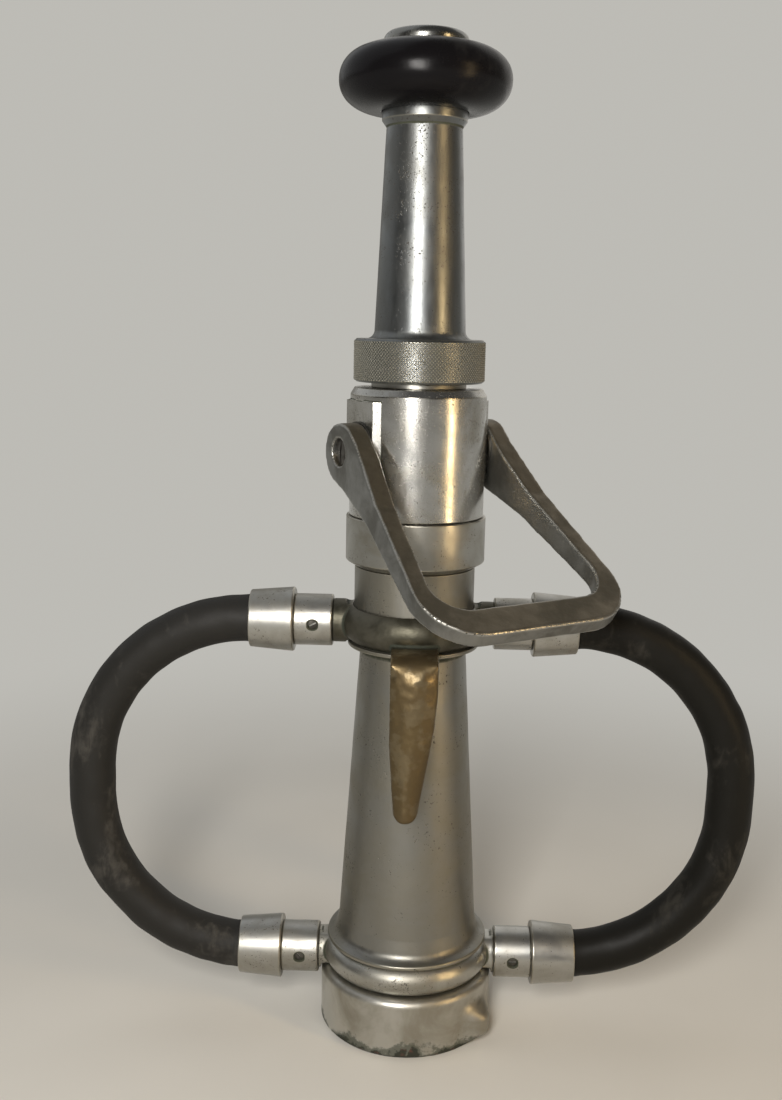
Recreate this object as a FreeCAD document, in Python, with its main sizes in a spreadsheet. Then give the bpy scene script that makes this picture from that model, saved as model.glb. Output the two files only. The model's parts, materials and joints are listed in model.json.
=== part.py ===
"""Fire hose playpipe with swivel D handles, ball shutoff and adjustable barrel tip.

Origin: centre of the hose coupling's bottom face.  +Z runs up the waterway to the tip,
the handles lie along X, and the hook faces -Y.  Millimetres.
"""
import FreeCAD
import Part
import Sketcher
import math
import os

vector = FreeCAD.Vector

# Driving dimensions, in millimetres and degrees: 2 1/2 in hose thread, 1 3/8 in ball.
DIMENSIONS = {
    # hose coupling and its swivel on the tail of the pipe
    "thread_radius": 38.95,
    "thread_depth": 20.0,
    "gasket_seat_radius": 39.6,
    "gasket_seat_top": 24.2,
    "coupling_radius": 47.0,
    "coupling_height": 32.6,
    "coupling_round": 7.0,
    "rim_chamfer": 1.5,
    "lug_reach": 55.0,
    "lug_nose": 4.0,
    "lug_width": 15.0,
    "lug_bottom": 2.5,
    "lug_height": 19.0,
    "lug_angle": -36.0,
    "ball_race_height": 28.8,
    "race_radius": 2.8,
    "race_mouth": 2.6,
    "race_ball_radius": 1.6,
    "race_ball_count": 36,
    "plug_radius": 2.2,
    "plug_inner": 40.9,
    "plug_length": 3.4,
    # playpipe casting
    "tail_radius": 38.0,
    "running_fit": 0.08,
    "base_bore": 31.7,
    "neck_bore": 24.0,
    "base_bore_top": 60.0,
    "neck_bore_bottom": 240.0,
    "flange_bottom": 48.7,
    "flange_radius": 43.7,
    "flange_edge": 1.8,
    "flange_sweep_radius": 14.0,
    "flange_sweep_top": 56.5,
    "flange_foot": 1.2,
    "pipe_foot_height": 60.5,
    "pipe_foot_radius": 5.0,
    "pipe_base_radius": 37.5,
    "pipe_top_radius": 28.1,
    "lip_bottom": 214.4,
    "lip_top": 217.0,
    "lip_radius": 34.8,
    "neck_radius": 31.6,
    "neck_top": 257.6,
    "spigot_radius": 29.0,
    "spigot_top": 279.0,
    # handle rings, arms, sleeves, ferrules and grips
    "lower_handle_height": 38.0,
    "upper_handle_height": 226.5,
    "lower_ring_bottom": 33.0,
    "lower_ring_top": 48.4,
    "lower_ring_radius": 46.0,
    "upper_ring_bottom": 217.3,
    "upper_ring_top": 236.3,
    "upper_ring_radius": 38.2,
    "ring_shoulder": 5.5,
    "arm_radius": 11.6,
    "arm_rod_radius": 9.0,
    "arm_rod_length": 16.0,
    "upper_sleeve_start": 42.6,
    "lower_sleeve_start": 48.6,
    "sleeve_radius": 13.7,
    "sleeve_length": 20.4,
    "ferrule_length": 23.6,
    "ferrule_radius": 17.2,
    "ferrule_taper": 2.0,
    "ferrule_chamfer": 0.8,
    "sleeve_chamfer": 0.8,
    "cup_depth": 6.0,
    "cup_play": 0.4,
    "grip_radius": 12.7,
    "core_radius": 8.0,
    "core_gap": 0.4,
    "grip_start": 87.0,
    "grip_reach": 174.0,
    "screw_radius": 2.6,
    "screw_length": 3.2,
    "slot_width": 0.8,
    "slot_depth": 1.2,
    # hook cast on the upper ring
    "hook_front": 60.5,
    "hook_thickness": 9.5,
    "hook_top": 222.0,
    "hook_bend": 14.0,
    "hook_lip_gap": 3.0,
    "hook_tip": 134.5,
    "hook_left": 10.8,
    "hook_right": 13.0,
    "hook_tip_left": 8.2,
    "hook_tip_right": 4.2,
    "hook_left_bend": 176.0,
    "hook_right_bend": 204.0,
    "hook_waist": 184.0,
    "hook_waist_inset": 1.6,
    "hook_draw": 2.0,
    "hook_tip_rise": 6.0,
    "hook_tip_round": 6.6,
    # ball shutoff
    "pivot_height": 318.5,
    "bail_azimuth": 32.0,
    "bail_drop": 33.0,
    "valve_base_bottom": 257.9,
    "valve_base_top": 284.2,
    "valve_base_radius": 36.4,
    "valve_base_foot": 31.3,
    "valve_base_chamfer": 3.0,
    "valve_radius": 35.0,
    "valve_bottom": 284.4,
    "valve_top": 350.0,
    "valve_shoulder": 3.4,
    "cavity_radius": 28.5,
    "cavity_top": 334.0,
    "waterway_radius": 18.2,
    "ball_radius": 25.0,
    "ball_bore": 17.5,
    "seat_radius": 23.0,
    "seat_outer_edge": 22.6,
    "seat_floor_drop": 21.5,
    "seat_inner_drop": 18.05,
    "seat_lip_drop": 11.7,
    "pad_face": 34.8,
    "pad_width": 33.2,
    "pad_flat": 26.2,
    "pad_bevel": 4.5,
    "pad_bottom": 302.5,
    "pad_top": 344.0,
    # stems, bushes, bail
    "stem_radius": 5.5,
    "stem_tang_radius": 5.0,
    "stem_start": 20.5,
    "stem_collar_start": 26.0,
    "stem_collar_end": 28.0,
    "stem_collar_radius": 8.0,
    "stem_end": 42.0,
    "bush_start": 28.3,
    "bush_end": 34.7,
    "bush_radius": 8.6,
    "seal_start": 30.0,
    "seal_end": 32.6,
    "seal_radius": 7.6,
    "fit": 0.06,
    "washer_start": 34.95,
    "washer_end": 35.95,
    "washer_radius": 15.0,
    "boss_inner": 36.0,
    "boss_outer": 46.6,
    "boss_radius": 16.0,
    "head_recess": 6.9,
    "head_radius": 6.5,
    "head_height": 3.2,
    "shank_radius": 2.5,
    "shank_length": 7.0,
    "arm_spread": 57.0,
    "arm_thickness": 10.0,
    "bail_length": 133.0,
    "crossbar_width": 16.0,
    "corner_radius": 27.0,
    "crossbar_height": 8.5,
    "arm_height": 12.5,
    "arm_swell": 0.9,
    "arm_swell_end": 48.0,
    "boss_neck": 3.0,
    "boss_back": 14.2,
    "boss_inner_foot": 4.0,
    "boss_outer_foot": 2.0,
    # tip
    "tip_spigot_radius": 22.0,
    "tip_socket_floor": 343.0,
    "tip_gasket_thickness": 0.7,
    "tip_neck_radius": 24.4,
    "tip_neck_top": 371.5,
    "tip_boss_radius": 16.5,
    "tip_boss_top": 380.0,
    "stream_outer": 14.0,
    "stream_bore": 12.2,
    "stream_bottom": 372.2,
    "stream_top": 497.0,
    "knurl_bottom": 352.9,
    "knurl_top": 374.6,
    "knurl_radius": 33.7,
    "knurl_chamfer": 1.3,
    "barrel_base_radius": 23.2,
    "barrel_top_radius": 18.9,
    "barrel_flare": 4.2,
    "collar_bottom": 478.8,
    "collar_top": 488.0,
    "collar_radius": 21.2,
    "end_radius": 17.0,
    "end_top": 513.0,
    "end_bore": 15.0,
    "guide_bore": 17.2,
    "guide_top": 386.0,
    "neck_play": 0.1,
    "shoulder_height": 373.5,
    "ring_seal_height": 384.2,
    "ring_seal_middle": 15.6,
    "ring_seal_section": 1.35,
    "bumper_height": 499.4,
    "bumper_middle": 27.5,
    "bumper_reach": 15.2,
    "bumper_section": 15.23,
    "bumper_foot": 13.9,
    "bumper_head": 13.8,
    "cap_radius": 21.0,
    "cap_top": 522.0,
    "cap_crown": 15.5,
    "orifice_radius": 9.5,
    "spreader_radius": 7.5,
    "spreader_bottom": 511.0,
    "spreader_top": 517.0,
    "spider_bottom": 466.0,
    "spider_height": 6.0,
    "spider_web": 2.4,
    "spreader_stem": 2.5,
}

document = FreeCAD.newDocument("Playpipe")
sheet = document.addObject("Spreadsheet::Sheet", "Sizes")


class Size:
    """A number together with the spreadsheet expression that gives it."""

    def __init__(self, value, text):
        self.value = value
        self.text = text

    def __add__(self, other):
        other = as_size(other)
        return Size(self.value + other.value, f"({self.text} + {other.text})")

    def __sub__(self, other):
        other = as_size(other)
        return Size(self.value - other.value, f"({self.text} - {other.text})")

    def __mul__(self, other):
        other = as_size(other)
        return Size(self.value * other.value, f"({self.text} * {other.text})")

    def __truediv__(self, other):
        other = as_size(other)
        return Size(self.value / other.value, f"({self.text} / {other.text})")

    def __neg__(self):
        return Size(-self.value, f"(0 - {self.text})")

    def __rsub__(self, other):
        return as_size(other) - self


def as_size(number):
    """Turn a plain number into a Size."""
    if isinstance(number, Size):
        return number
    return Size(float(number), f"({float(number)})")


class SizeTable:
    """Every driving dimension as an attribute."""

    def __init__(self, dimensions):
        for row, (name, value) in enumerate(dimensions.items(), start=1):
            sheet.set(f"A{row}", name)
            sheet.set(f"B{row}", str(value))
            sheet.setAlias(f"B{row}", name)
            setattr(self, name, Size(float(value), f"Sizes.{name}"))


d = SizeTable(DIMENSIONS)
document.recompute()


def pin(sketch, geometry, vertex, x, y):
    """Dimension one point of a sketch from its origin."""
    for kind, size, axis in (("DistanceX", as_size(x), -2), ("DistanceY", as_size(y), -1)):
        if abs(size.value) < 1e-9:
            sketch.addConstraint(Sketcher.Constraint("PointOnObject", geometry, vertex, axis))
            continue
        if size.value > 0:
            rule = Sketcher.Constraint(kind, -1, 1, geometry, vertex, size.value)
        else:
            size = -size
            rule = Sketcher.Constraint(kind, geometry, vertex, -1, 1, size.value)
        index = sketch.addConstraint(rule)
        sketch.setExpression(f"Constraints[{index}]", size.text)


def arc_between(start, end, radius):
    """Arc from start to end; a positive radius bulges to the right of the direction of travel."""
    chord = end - start
    rise = math.sqrt(max(radius * radius - chord.Length * chord.Length / 4, 0.0))
    side = vector(-chord.y, chord.x, 0).normalize()
    if radius < 0:
        side = -side
        start, end = end, start
    centre = (start + end) * 0.5 + side * rise
    turn = [math.atan2(p.y - centre.y, p.x - centre.x) for p in (start, end)]
    return Part.ArcOfCircle(Part.Circle(centre, vector(0, 0, 1), abs(radius)), turn[0], turn[1])


def outline(sketch, points):
    """Closed outline. A point is (x, y), or (x, y, radius) where an arc leads up to it."""
    places = [vector(as_size(p[0]).value, as_size(p[1]).value, 0) for p in points]
    first = sketch.GeometryCount
    for number in range(len(points)):
        after = (number + 1) % len(points)
        if len(points[after]) == 3:
            arc = arc_between(places[number], places[after], as_size(points[after][2]).value)
            sketch.addGeometry(arc, False)
        else:
            sketch.addGeometry(Part.LineSegment(places[number], places[after]), False)
    count = len(points)
    ends = []
    for number in range(count):
        geometry = sketch.Geometry[first + number]
        forward = (geometry.StartPoint - places[number]).Length < 1e-6
        ends.append((1, 2) if forward else (2, 1))
    for number in range(count):
        after = (number + 1) % count
        joint = (first + number, ends[number][1], first + after, ends[after][0])
        sketch.addConstraint(Sketcher.Constraint("Coincident", *joint))
        pin(sketch, first + number, ends[number][0], points[number][0], points[number][1])
        if len(points[after]) == 3:
            radius = as_size(points[after][2])
            radius = radius if radius.value > 0 else -radius
            rule = Sketcher.Constraint("Radius", first + number, radius.value)
            sketch.setExpression(f"Constraints[{sketch.addConstraint(rule)}]", radius.text)


def circle(sketch, x, y, radius):
    """Circle whose centre and radius are dimensioned."""
    spot = vector(as_size(x).value, as_size(y).value, 0)
    index = sketch.addGeometry(Part.Circle(spot, vector(0, 0, 1), as_size(radius).value), False)
    pin(sketch, index, 3, x, y)
    rule = Sketcher.Constraint("Radius", index, as_size(radius).value)
    sketch.setExpression(f"Constraints[{sketch.addConstraint(rule)}]", as_size(radius).text)


def new_body(label):
    body = document.addObject("PartDesign::Body", label)
    body.Label = label
    return body


def new_sketch(body, plane, name):
    sketch = body.newObject("Sketcher::SketchObject", name)
    origin_plane = [f for f in body.Origin.OriginFeatures if f.Role == plane][0]
    sketch.AttachmentSupport = [(origin_plane, "")]
    sketch.MapMode = "FlatFace"
    return sketch


def revolve(body, name, points, axis="V_Axis"):
    """Turned feature from an outline in the XZ plane."""
    sketch = new_sketch(body, "XZ_Plane", name + "_profile")
    outline(sketch, points)
    turned = body.newObject("PartDesign::Revolution", name)
    turned.Profile = sketch
    turned.ReferenceAxis = (sketch, [axis])
    turned.Angle = 360.0
    body.Tip = turned
    return turned


def groove(body, name, points, axis="V_Axis"):
    """Turned cut from an outline in the XZ plane."""
    sketch = new_sketch(body, "XZ_Plane", name + "_profile")
    outline(sketch, points)
    cut = body.newObject("PartDesign::Groove", name)
    cut.Profile = sketch
    cut.ReferenceAxis = (sketch, [axis])
    cut.Angle = 360.0
    body.Tip = cut
    return cut


def pad(body, name, plane, length, offset=0.0, turn=0.0, both=False):
    """Pad with its empty sketch, raised by offset and turned about the plane's normal."""
    sketch = new_sketch(body, plane, name + "_sketch")
    turned = FreeCAD.Rotation(vector(0, 0, 1), as_size(turn).value)
    sketch.AttachmentOffset = FreeCAD.Placement(vector(0, 0, as_size(offset).value), turned)
    sketch.setExpression("AttachmentOffset.Base.z", as_size(offset).text)
    feature = body.newObject("PartDesign::Pad", name)
    feature.Profile = sketch
    feature.Length = as_size(length).value
    feature.setExpression("Length", as_size(length).text)
    feature.Midplane = both
    body.Tip = feature
    return sketch, feature


def cross_hole(body, name, plane, x, y, radius, length=400.0):
    """Round hole through the whole body, both ways from an origin plane."""
    sketch = new_sketch(body, plane, name + "_sketch")
    circle(sketch, x, y, radius)
    cut = body.newObject("PartDesign::Pocket", name)
    cut.Profile = sketch
    cut.Length = length
    cut.Midplane = True
    body.Tip = cut
    return cut


def turned_part(label, points):
    """Body made by one revolution about Z."""
    body = new_body(label)
    revolve(body, label + "_turned", points)
    return body


def ring_points(inner, outer, bottom, top):
    return [(inner, bottom), (outer, bottom), (outer, top), (inner, top)]


def hose_coupling():
    """Female hose coupling that swivels on the pipe's tail, with two lugs."""
    body = new_body("coupling")
    bore = d.tail_radius + d.running_fit
    revolve(body, "coupling_turned", [
        (d.thread_radius, 0),
        (d.coupling_radius - d.rim_chamfer, 0),
        (d.coupling_radius, d.rim_chamfer),
        (d.coupling_radius, d.coupling_height - d.coupling_round),
        (d.coupling_radius - d.coupling_round, d.coupling_height, d.coupling_round),
        (bore, d.coupling_height),
        (bore, d.ball_race_height + d.race_mouth),
        (bore, d.ball_race_height - d.race_mouth, -d.race_radius),
        (bore, d.gasket_seat_top),
        (d.gasket_seat_radius, d.gasket_seat_top),
        (d.gasket_seat_radius, d.thread_depth),
        (d.thread_radius, d.thread_depth),
    ])
    sketch, lugs = pad(body, "lugs", "XY_Plane", d.lug_height, d.lug_bottom, d.lug_angle)
    half = d.lug_width / 2
    inner = d.thread_radius + 3.0
    flank = d.lug_reach - d.lug_nose
    outline(sketch, [(inner, -half), (flank, -half), (flank, half, half * 1.06), (inner, half)])
    document.recompute()
    pattern = body.newObject("PartDesign::PolarPattern", "lug_pattern")
    pattern.Originals = [lugs]
    pattern.Axis = (sketch, ["N_Axis"])
    pattern.Angle = 360.0
    pattern.Occurrences = 2
    body.Tip = pattern
    hole = new_sketch(body, "XZ_Plane", "plug_hole_sketch")
    circle(hole, 0, d.ball_race_height, d.plug_radius)
    cut = body.newObject("PartDesign::Pocket", "plug_hole")
    cut.Profile = hole
    cut.Length = 60.0
    cut.Reversed = True
    body.Tip = cut
    return body


def race_plug():
    """Screwed plug that closes the hole where the race balls are dropped in."""
    body = new_body("race_plug")
    sketch, feature = pad(body, "plug_pad", "XZ_Plane", d.plug_length, d.plug_inner)
    circle(sketch, 0, d.ball_race_height, d.plug_radius)
    return body


def race_balls():
    """Steel balls that carry the swivel, one group of separate solids."""
    balls = []
    for number in range(int(d.race_ball_count.value)):
        angle = 2 * math.pi * number / d.race_ball_count.value
        ball = document.addObject("Part::Sphere", f"race_ball_{number}")
        ball.setExpression("Radius", d.race_ball_radius.text)
        ball.Placement.Base = vector(math.cos(angle) * d.tail_radius.value,
                                     math.sin(angle) * d.tail_radius.value, 0)
        ball.setExpression("Placement.Base.z", d.ball_race_height.text)
        balls.append(ball)
    group = document.addObject("Part::Compound", "swivel_balls")
    group.Links = balls
    return group


def playpipe_tube():
    """Tail, base flange, tapered pipe, bearing lip and threaded neck in one casting."""
    tail_end = d.gasket_seat_top + 0.2
    return turned_part("playpipe_tube", [
        (d.base_bore, tail_end),
        (d.tail_radius, tail_end),
        (d.tail_radius, d.ball_race_height - d.race_mouth),
        (d.tail_radius, d.ball_race_height + d.race_mouth, -d.race_radius),
        (d.tail_radius, d.flange_bottom),
        (d.flange_radius, d.flange_bottom),
        (d.flange_radius, d.flange_bottom + d.flange_edge),
        (d.pipe_base_radius + d.flange_foot, d.flange_sweep_top, -d.flange_sweep_radius),
        (d.pipe_base_radius, d.pipe_foot_height, -d.pipe_foot_radius),
        (d.pipe_top_radius, d.lip_bottom - 1.5),
        (d.lip_radius, d.lip_bottom + 0.6),
        (d.lip_radius, d.lip_top),
        (d.neck_radius, d.lip_top),
        (d.neck_radius, d.neck_top),
        (d.spigot_radius, d.neck_top),
        (d.spigot_radius, d.spigot_top),
        (d.neck_bore, d.spigot_top),
        (d.neck_bore, d.neck_bore_bottom),
        (d.base_bore, d.base_bore_top),
    ])


def hose_gasket():
    return turned_part("hose_gasket", ring_points(
        d.base_bore + 0.2, d.gasket_seat_radius - 0.1, d.thread_depth + 0.3, d.gasket_seat_top - 0.1))


def ring_with_arms(label, bore, bottom, top, outer, height, sleeve_start, clear_radius):
    """Handle ring with a beaded rim and two arms along X that end in rods for the sleeves.

    The arms are stouter than the rim is deep, so near the pipe they are cut back flush with it.
    """
    body = new_body(label)
    shoulder = outer - d.ring_shoulder
    half = (top - bottom) / 2
    radius = (half * half + d.ring_shoulder * d.ring_shoulder) / (d.ring_shoulder * 2)
    revolve(body, label + "_rim", [
        (bore, bottom), (shoulder, bottom), (shoulder, top, radius), (bore, top)])
    reach = sleeve_start + d.arm_rod_length
    for name, size, length in (("arm", d.arm_radius, sleeve_start), ("rod", d.arm_rod_radius, reach)):
        sketch, feature = pad(body, f"{label}_{name}", "YZ_Plane", length * 2, both=True)
        circle(sketch, 0, height, size)
    groove(body, label + "_bore", [(0, bottom - 30), (bore, bottom - 30), (bore, top + 30), (0, top + 30)])
    for side, near, far in (("below", bottom - 30, bottom), ("above", top, top + 30)):
        groove(body, f"{label}_clear_{side}", [
            (bore - 1, near), (clear_radius, near), (clear_radius, far), (bore - 1, far)])
    return body


def lower_ring():
    return ring_with_arms("lower_ring", d.tail_radius + d.running_fit, d.lower_ring_bottom,
                          d.lower_ring_top, d.lower_ring_radius, d.lower_handle_height,
                          d.lower_sleeve_start, d.coupling_radius + 0.6)


# sketch X runs along Y, sketch Y along Z, and the sketch faces +X
SIDE_VIEW = FreeCAD.Rotation(vector(0, 1, 0), vector(0, 0, 1), vector(1, 0, 0), "XYZ")
FRONT_VIEW = FreeCAD.Rotation(vector(1, 0, 0), 90)


def loose_sketch(name, rotation):
    sketch = document.addObject("Sketcher::SketchObject", name)
    sketch.Placement = FreeCAD.Placement(vector(0, 0, 0), rotation)
    return sketch


def extrude(name, sketch, direction, length):
    """Solid extrusion of a sketch, the same length both ways."""
    solid = document.addObject("Part::Extrusion", name)
    solid.Base = sketch
    solid.DirMode = "Custom"
    solid.Dir = direction
    solid.LengthFwd = as_size(length).value
    solid.LengthRev = as_size(length).value
    solid.Solid = True
    return solid


def common(name, shapes):
    solid = document.addObject("Part::MultiCommon", name)
    solid.Shapes = shapes
    return solid


def cut(name, base, tool):
    solid = document.addObject("Part::Cut", name)
    solid.Base = base
    solid.Tool = tool
    return solid


def fuse(name, shapes):
    solid = document.addObject("Part::MultiFuse", name)
    solid.Shapes = shapes
    return solid


def upper_ring():
    """Ring below the valve with the belt and ladder hook cast on its front."""
    ring = ring_with_arms("upper_ring_turned", d.neck_radius + d.running_fit, d.upper_ring_bottom,
                          d.upper_ring_top, d.upper_ring_radius, d.upper_handle_height,
                          d.upper_sleeve_start, d.lip_radius + 0.6)
    side = loose_sketch("hook_side", SIDE_VIEW)
    root = d.upper_ring_radius - 4.0
    inside = d.hook_front - d.hook_thickness
    bend_start = d.hook_front - d.hook_bend
    inner_bend = d.hook_bend - d.hook_thickness
    lip_side = d.lip_radius + d.hook_lip_gap
    tip_round = (d.hook_thickness - d.hook_draw) / 2
    outline(side, [
        (-root, d.hook_top),
        (-bend_start, d.hook_top),
        (-d.hook_front, d.hook_top - d.hook_bend, d.hook_bend),
        (-d.hook_front + d.hook_draw, d.hook_tip + tip_round),
        (-inside, d.hook_tip + tip_round, tip_round * 1.05),
        (-inside, d.hook_top - d.hook_bend),
        (-bend_start, d.hook_top - d.hook_thickness, -inner_bend),
        (-lip_side, d.hook_top - d.hook_thickness),
        (-lip_side, d.upper_ring_bottom),
        (-root, d.upper_ring_bottom),
    ])
    front = loose_sketch("hook_front_view", FRONT_VIEW)
    outline(front, [
        (-d.hook_left, d.hook_top + 5),
        (-d.hook_left, d.hook_left_bend),
        (-d.hook_tip_left, d.hook_tip + d.hook_tip_rise),
        (d.hook_tip_right, d.hook_tip + d.hook_tip_rise, d.hook_tip_round),
        (d.hook_right - d.hook_waist_inset, d.hook_waist),
        (d.hook_right, d.hook_right_bend),
        (d.hook_right, d.hook_top + 5),
    ])
    blank = extrude("hook_side_solid", side, vector(1, 0, 0), 30)
    plan = extrude("hook_front_solid", front, vector(0, 1, 0), 90)
    hook = common("hook_blank", [blank, plan])
    whole = fuse("upper_ring", [ring, hook])
    return whole


def along_x(label, points, start, height, left):
    """Turned piece whose axis lies along X; the left one is turned round about Y."""
    body = new_body(label)
    revolve(body, label + "_turned", points, "H_Axis")
    flip = FreeCAD.Rotation(vector(0, 1, 0), 180 if left else 0)
    body.Placement = FreeCAD.Placement(vector(0, 0, 0), flip)
    sign = -1 if left else 1
    body.setExpression("Placement.Base.x", (start * sign).text)
    body.setExpression("Placement.Base.z", height.text)
    return body


def sleeve(label, start, height, left):
    """Sleeve that joins a ring arm to a ferrule, with the set screw's hole in front."""
    body = along_x(label, [
        (d.sleeve_length, d.arm_rod_radius),
        (d.sleeve_length, d.sleeve_radius - d.sleeve_chamfer),
        (d.sleeve_length - d.sleeve_chamfer, d.sleeve_radius),
        (d.sleeve_chamfer, d.sleeve_radius),
        (0, d.sleeve_radius - d.sleeve_chamfer),
        (0, d.arm_rod_radius),
    ], start, height, left)
    sketch = new_sketch(body, "XZ_Plane", label + "_hole_sketch")
    circle(sketch, d.sleeve_length / 2, 0, d.screw_radius)
    hole = body.newObject("PartDesign::Pocket", label + "_hole")
    hole.Profile = sketch
    hole.Length = 30.0
    hole.Reversed = True
    body.Tip = hole
    return body


def ferrule(label, start, height, left):
    """Ferrule that tapers towards the grip: bored for the core rod, with a cup for the grip's end."""
    cup = d.grip_radius + d.cup_play
    small = d.ferrule_radius - d.ferrule_taper
    return along_x(label, [
        (0, d.core_radius),
        (d.ferrule_length - d.cup_depth, d.core_radius),
        (d.ferrule_length - d.cup_depth, cup),
        (d.ferrule_length, cup),
        (d.ferrule_length, small - d.ferrule_chamfer),
        (d.ferrule_length - d.ferrule_chamfer, small),
        (d.ferrule_chamfer, d.ferrule_radius),
        (0, d.ferrule_radius - d.ferrule_chamfer),
    ], start, height, left)


def handle_side(left):
    """D-shaped core rod and rubber grip on one side."""
    side = "left" if left else "right"
    upper = d.upper_sleeve_start + d.sleeve_length + d.ferrule_length
    lower = d.lower_sleeve_start + d.sleeve_length + d.ferrule_length
    bend = d.grip_reach - d.grip_start
    made = []
    for label, outer, bore in (("core_rod", d.core_radius, None), ("grip", d.grip_radius, d.core_radius)):
        body = new_body(f"{label}_{side}")
        if bore:
            top_start = upper - d.cup_depth
            low_start = lower - d.cup_depth
        else:
            top_start = d.upper_sleeve_start + d.arm_rod_length + d.core_gap
            low_start = d.lower_sleeve_start + d.arm_rod_length + d.core_gap
        path = new_sketch(body, "XZ_Plane", f"{label}_{side}_path")
        corner = [
            (top_start, d.upper_handle_height),
            (d.grip_start, d.upper_handle_height),
            (d.grip_reach, d.upper_handle_height - bend, -bend),
            (d.grip_reach, d.lower_handle_height + bend),
            (d.grip_start, d.lower_handle_height, -bend),
            (low_start, d.lower_handle_height),
        ]
        open_path(path, corner)
        profile = new_sketch(body, "YZ_Plane", f"{label}_{side}_section")
        profile.AttachmentOffset = FreeCAD.Placement(vector(0, 0, top_start.value), FreeCAD.Rotation())
        profile.setExpression("AttachmentOffset.Base.z", top_start.text)
        circle(profile, 0, d.upper_handle_height, outer)
        if bore:
            circle(profile, 0, d.upper_handle_height, bore)
        pipe = body.newObject("PartDesign::AdditivePipe", f"{label}_{side}_sweep")
        pipe.Profile = profile
        pipe.Spine = path
        body.Tip = pipe
        if left:
            body.Placement = FreeCAD.Placement(vector(0, 0, 0), FreeCAD.Rotation(vector(0, 0, 1), 180))
        made.append(body)
    return made


def open_path(sketch, points):
    """Open run of lines and tangent arcs for a sweep."""
    places = [vector(as_size(p[0]).value, as_size(p[1]).value, 0) for p in points]
    for number in range(len(points) - 1):
        start, end = places[number], places[number + 1]
        if len(points[number + 1]) == 3:
            arc = arc_between(start, end, as_size(points[number + 1][2]).value)
            sketch.addGeometry(arc, False)
        else:
            sketch.addGeometry(Part.LineSegment(start, end), False)
    for number in range(len(points) - 1):
        geometry = sketch.Geometry[number]
        near = 1 if (geometry.StartPoint - places[number]).Length < 1e-6 else 2
        pin(sketch, number, near, points[number][0], points[number][1])
        far = 3 - near
        if number == len(points) - 2:
            pin(sketch, number, far, points[-1][0], points[-1][1])
        else:
            following = sketch.Geometry[number + 1]
            joined = 1 if (following.StartPoint - places[number + 1]).Length < 1e-6 else 2
            sketch.addConstraint(Sketcher.Constraint("Coincident", number, far, number + 1, joined))
        if len(points[number + 1]) == 3:
            radius = -as_size(points[number + 1][2])
            rule = Sketcher.Constraint("Radius", number, radius.value)
            sketch.setExpression(f"Constraints[{sketch.addConstraint(rule)}]", radius.text)


def set_screws():
    """Slotted grub screws that hold the four sleeves, one group of separate solids."""
    screws = []
    spots = [(sign * (start + d.sleeve_length / 2), height)
             for start, height in ((d.upper_sleeve_start, d.upper_handle_height),
                                   (d.lower_sleeve_start, d.lower_handle_height))
             for sign in (as_size(-1), as_size(1))]
    for number, (x, height) in enumerate(spots):
        shank = document.addObject("Part::Cylinder", f"screw_shank_{number}")
        shank.setExpression("Radius", (d.screw_radius - 0.02).text)
        shank.setExpression("Height", d.screw_length.text)
        shank.Placement = FreeCAD.Placement(vector(0, -d.arm_rod_radius.value, 0),
                                            FreeCAD.Rotation(vector(1, 0, 0), 90))
        slot = document.addObject("Part::Box", f"screw_slot_{number}")
        slot.setExpression("Length", (d.screw_radius * 2 + 1).text)
        slot.setExpression("Width", d.slot_depth.text)
        slot.setExpression("Height", d.slot_width.text)
        slot.setExpression("Placement.Base.x", (-d.screw_radius - 0.5).text)
        slot.setExpression("Placement.Base.y", (-d.arm_rod_radius - d.screw_length).text)
        slot.setExpression("Placement.Base.z", (-d.slot_width / 2).text)
        screw = cut(f"screw_{number}", shank, slot)
        screw.setExpression("Placement.Base.x", x.text)
        screw.setExpression("Placement.Base.z", height.text)
        screws.append(screw)
    group = document.addObject("Part::Compound", "set_screws")
    group.Links = screws
    return group


def valve_base():
    """Screwed ring under the valve that carries the lower seat."""
    below = d.pivot_height - d.seat_floor_drop
    return turned_part("valve_base", [
        (d.spigot_radius + 0.05, d.valve_base_bottom),
        (d.valve_base_foot, d.valve_base_bottom),
        (d.valve_base_radius, d.valve_base_bottom + d.valve_base_chamfer),
        (d.valve_base_radius, d.valve_base_top),
        (d.cavity_radius - 0.05, d.valve_base_top),
        (d.cavity_radius - 0.05, below + 6.0),
        (d.seat_radius, below + 6.0),
        (d.seat_radius, below),
        (d.waterway_radius, below),
        (d.waterway_radius, below - 6.0),
        (d.neck_bore, d.spigot_top + 2.6),
        (d.spigot_radius + 0.05, d.spigot_top + 2.6),
    ])


def pipe_gasket():
    return turned_part("pipe_gasket", ring_points(
        d.neck_bore + 0.2, d.spigot_radius - 0.2, d.spigot_top, d.spigot_top + 2.6))


def seat(label, up):
    """Ball seat ring; its cone lies along the ball, a hair's breadth off it."""
    points = [
        (d.waterway_radius, d.pivot_height - d.seat_floor_drop),
        (d.seat_radius, d.pivot_height - d.seat_floor_drop),
        (d.seat_radius, d.pivot_height - d.seat_lip_drop),
        (d.seat_outer_edge, d.pivot_height - d.seat_lip_drop),
        (d.waterway_radius, d.pivot_height - d.seat_inner_drop),
    ]
    if up:
        points = [(x, d.pivot_height * 2 - z) for x, z in reversed(points)]
    return turned_part(label, points)


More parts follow.
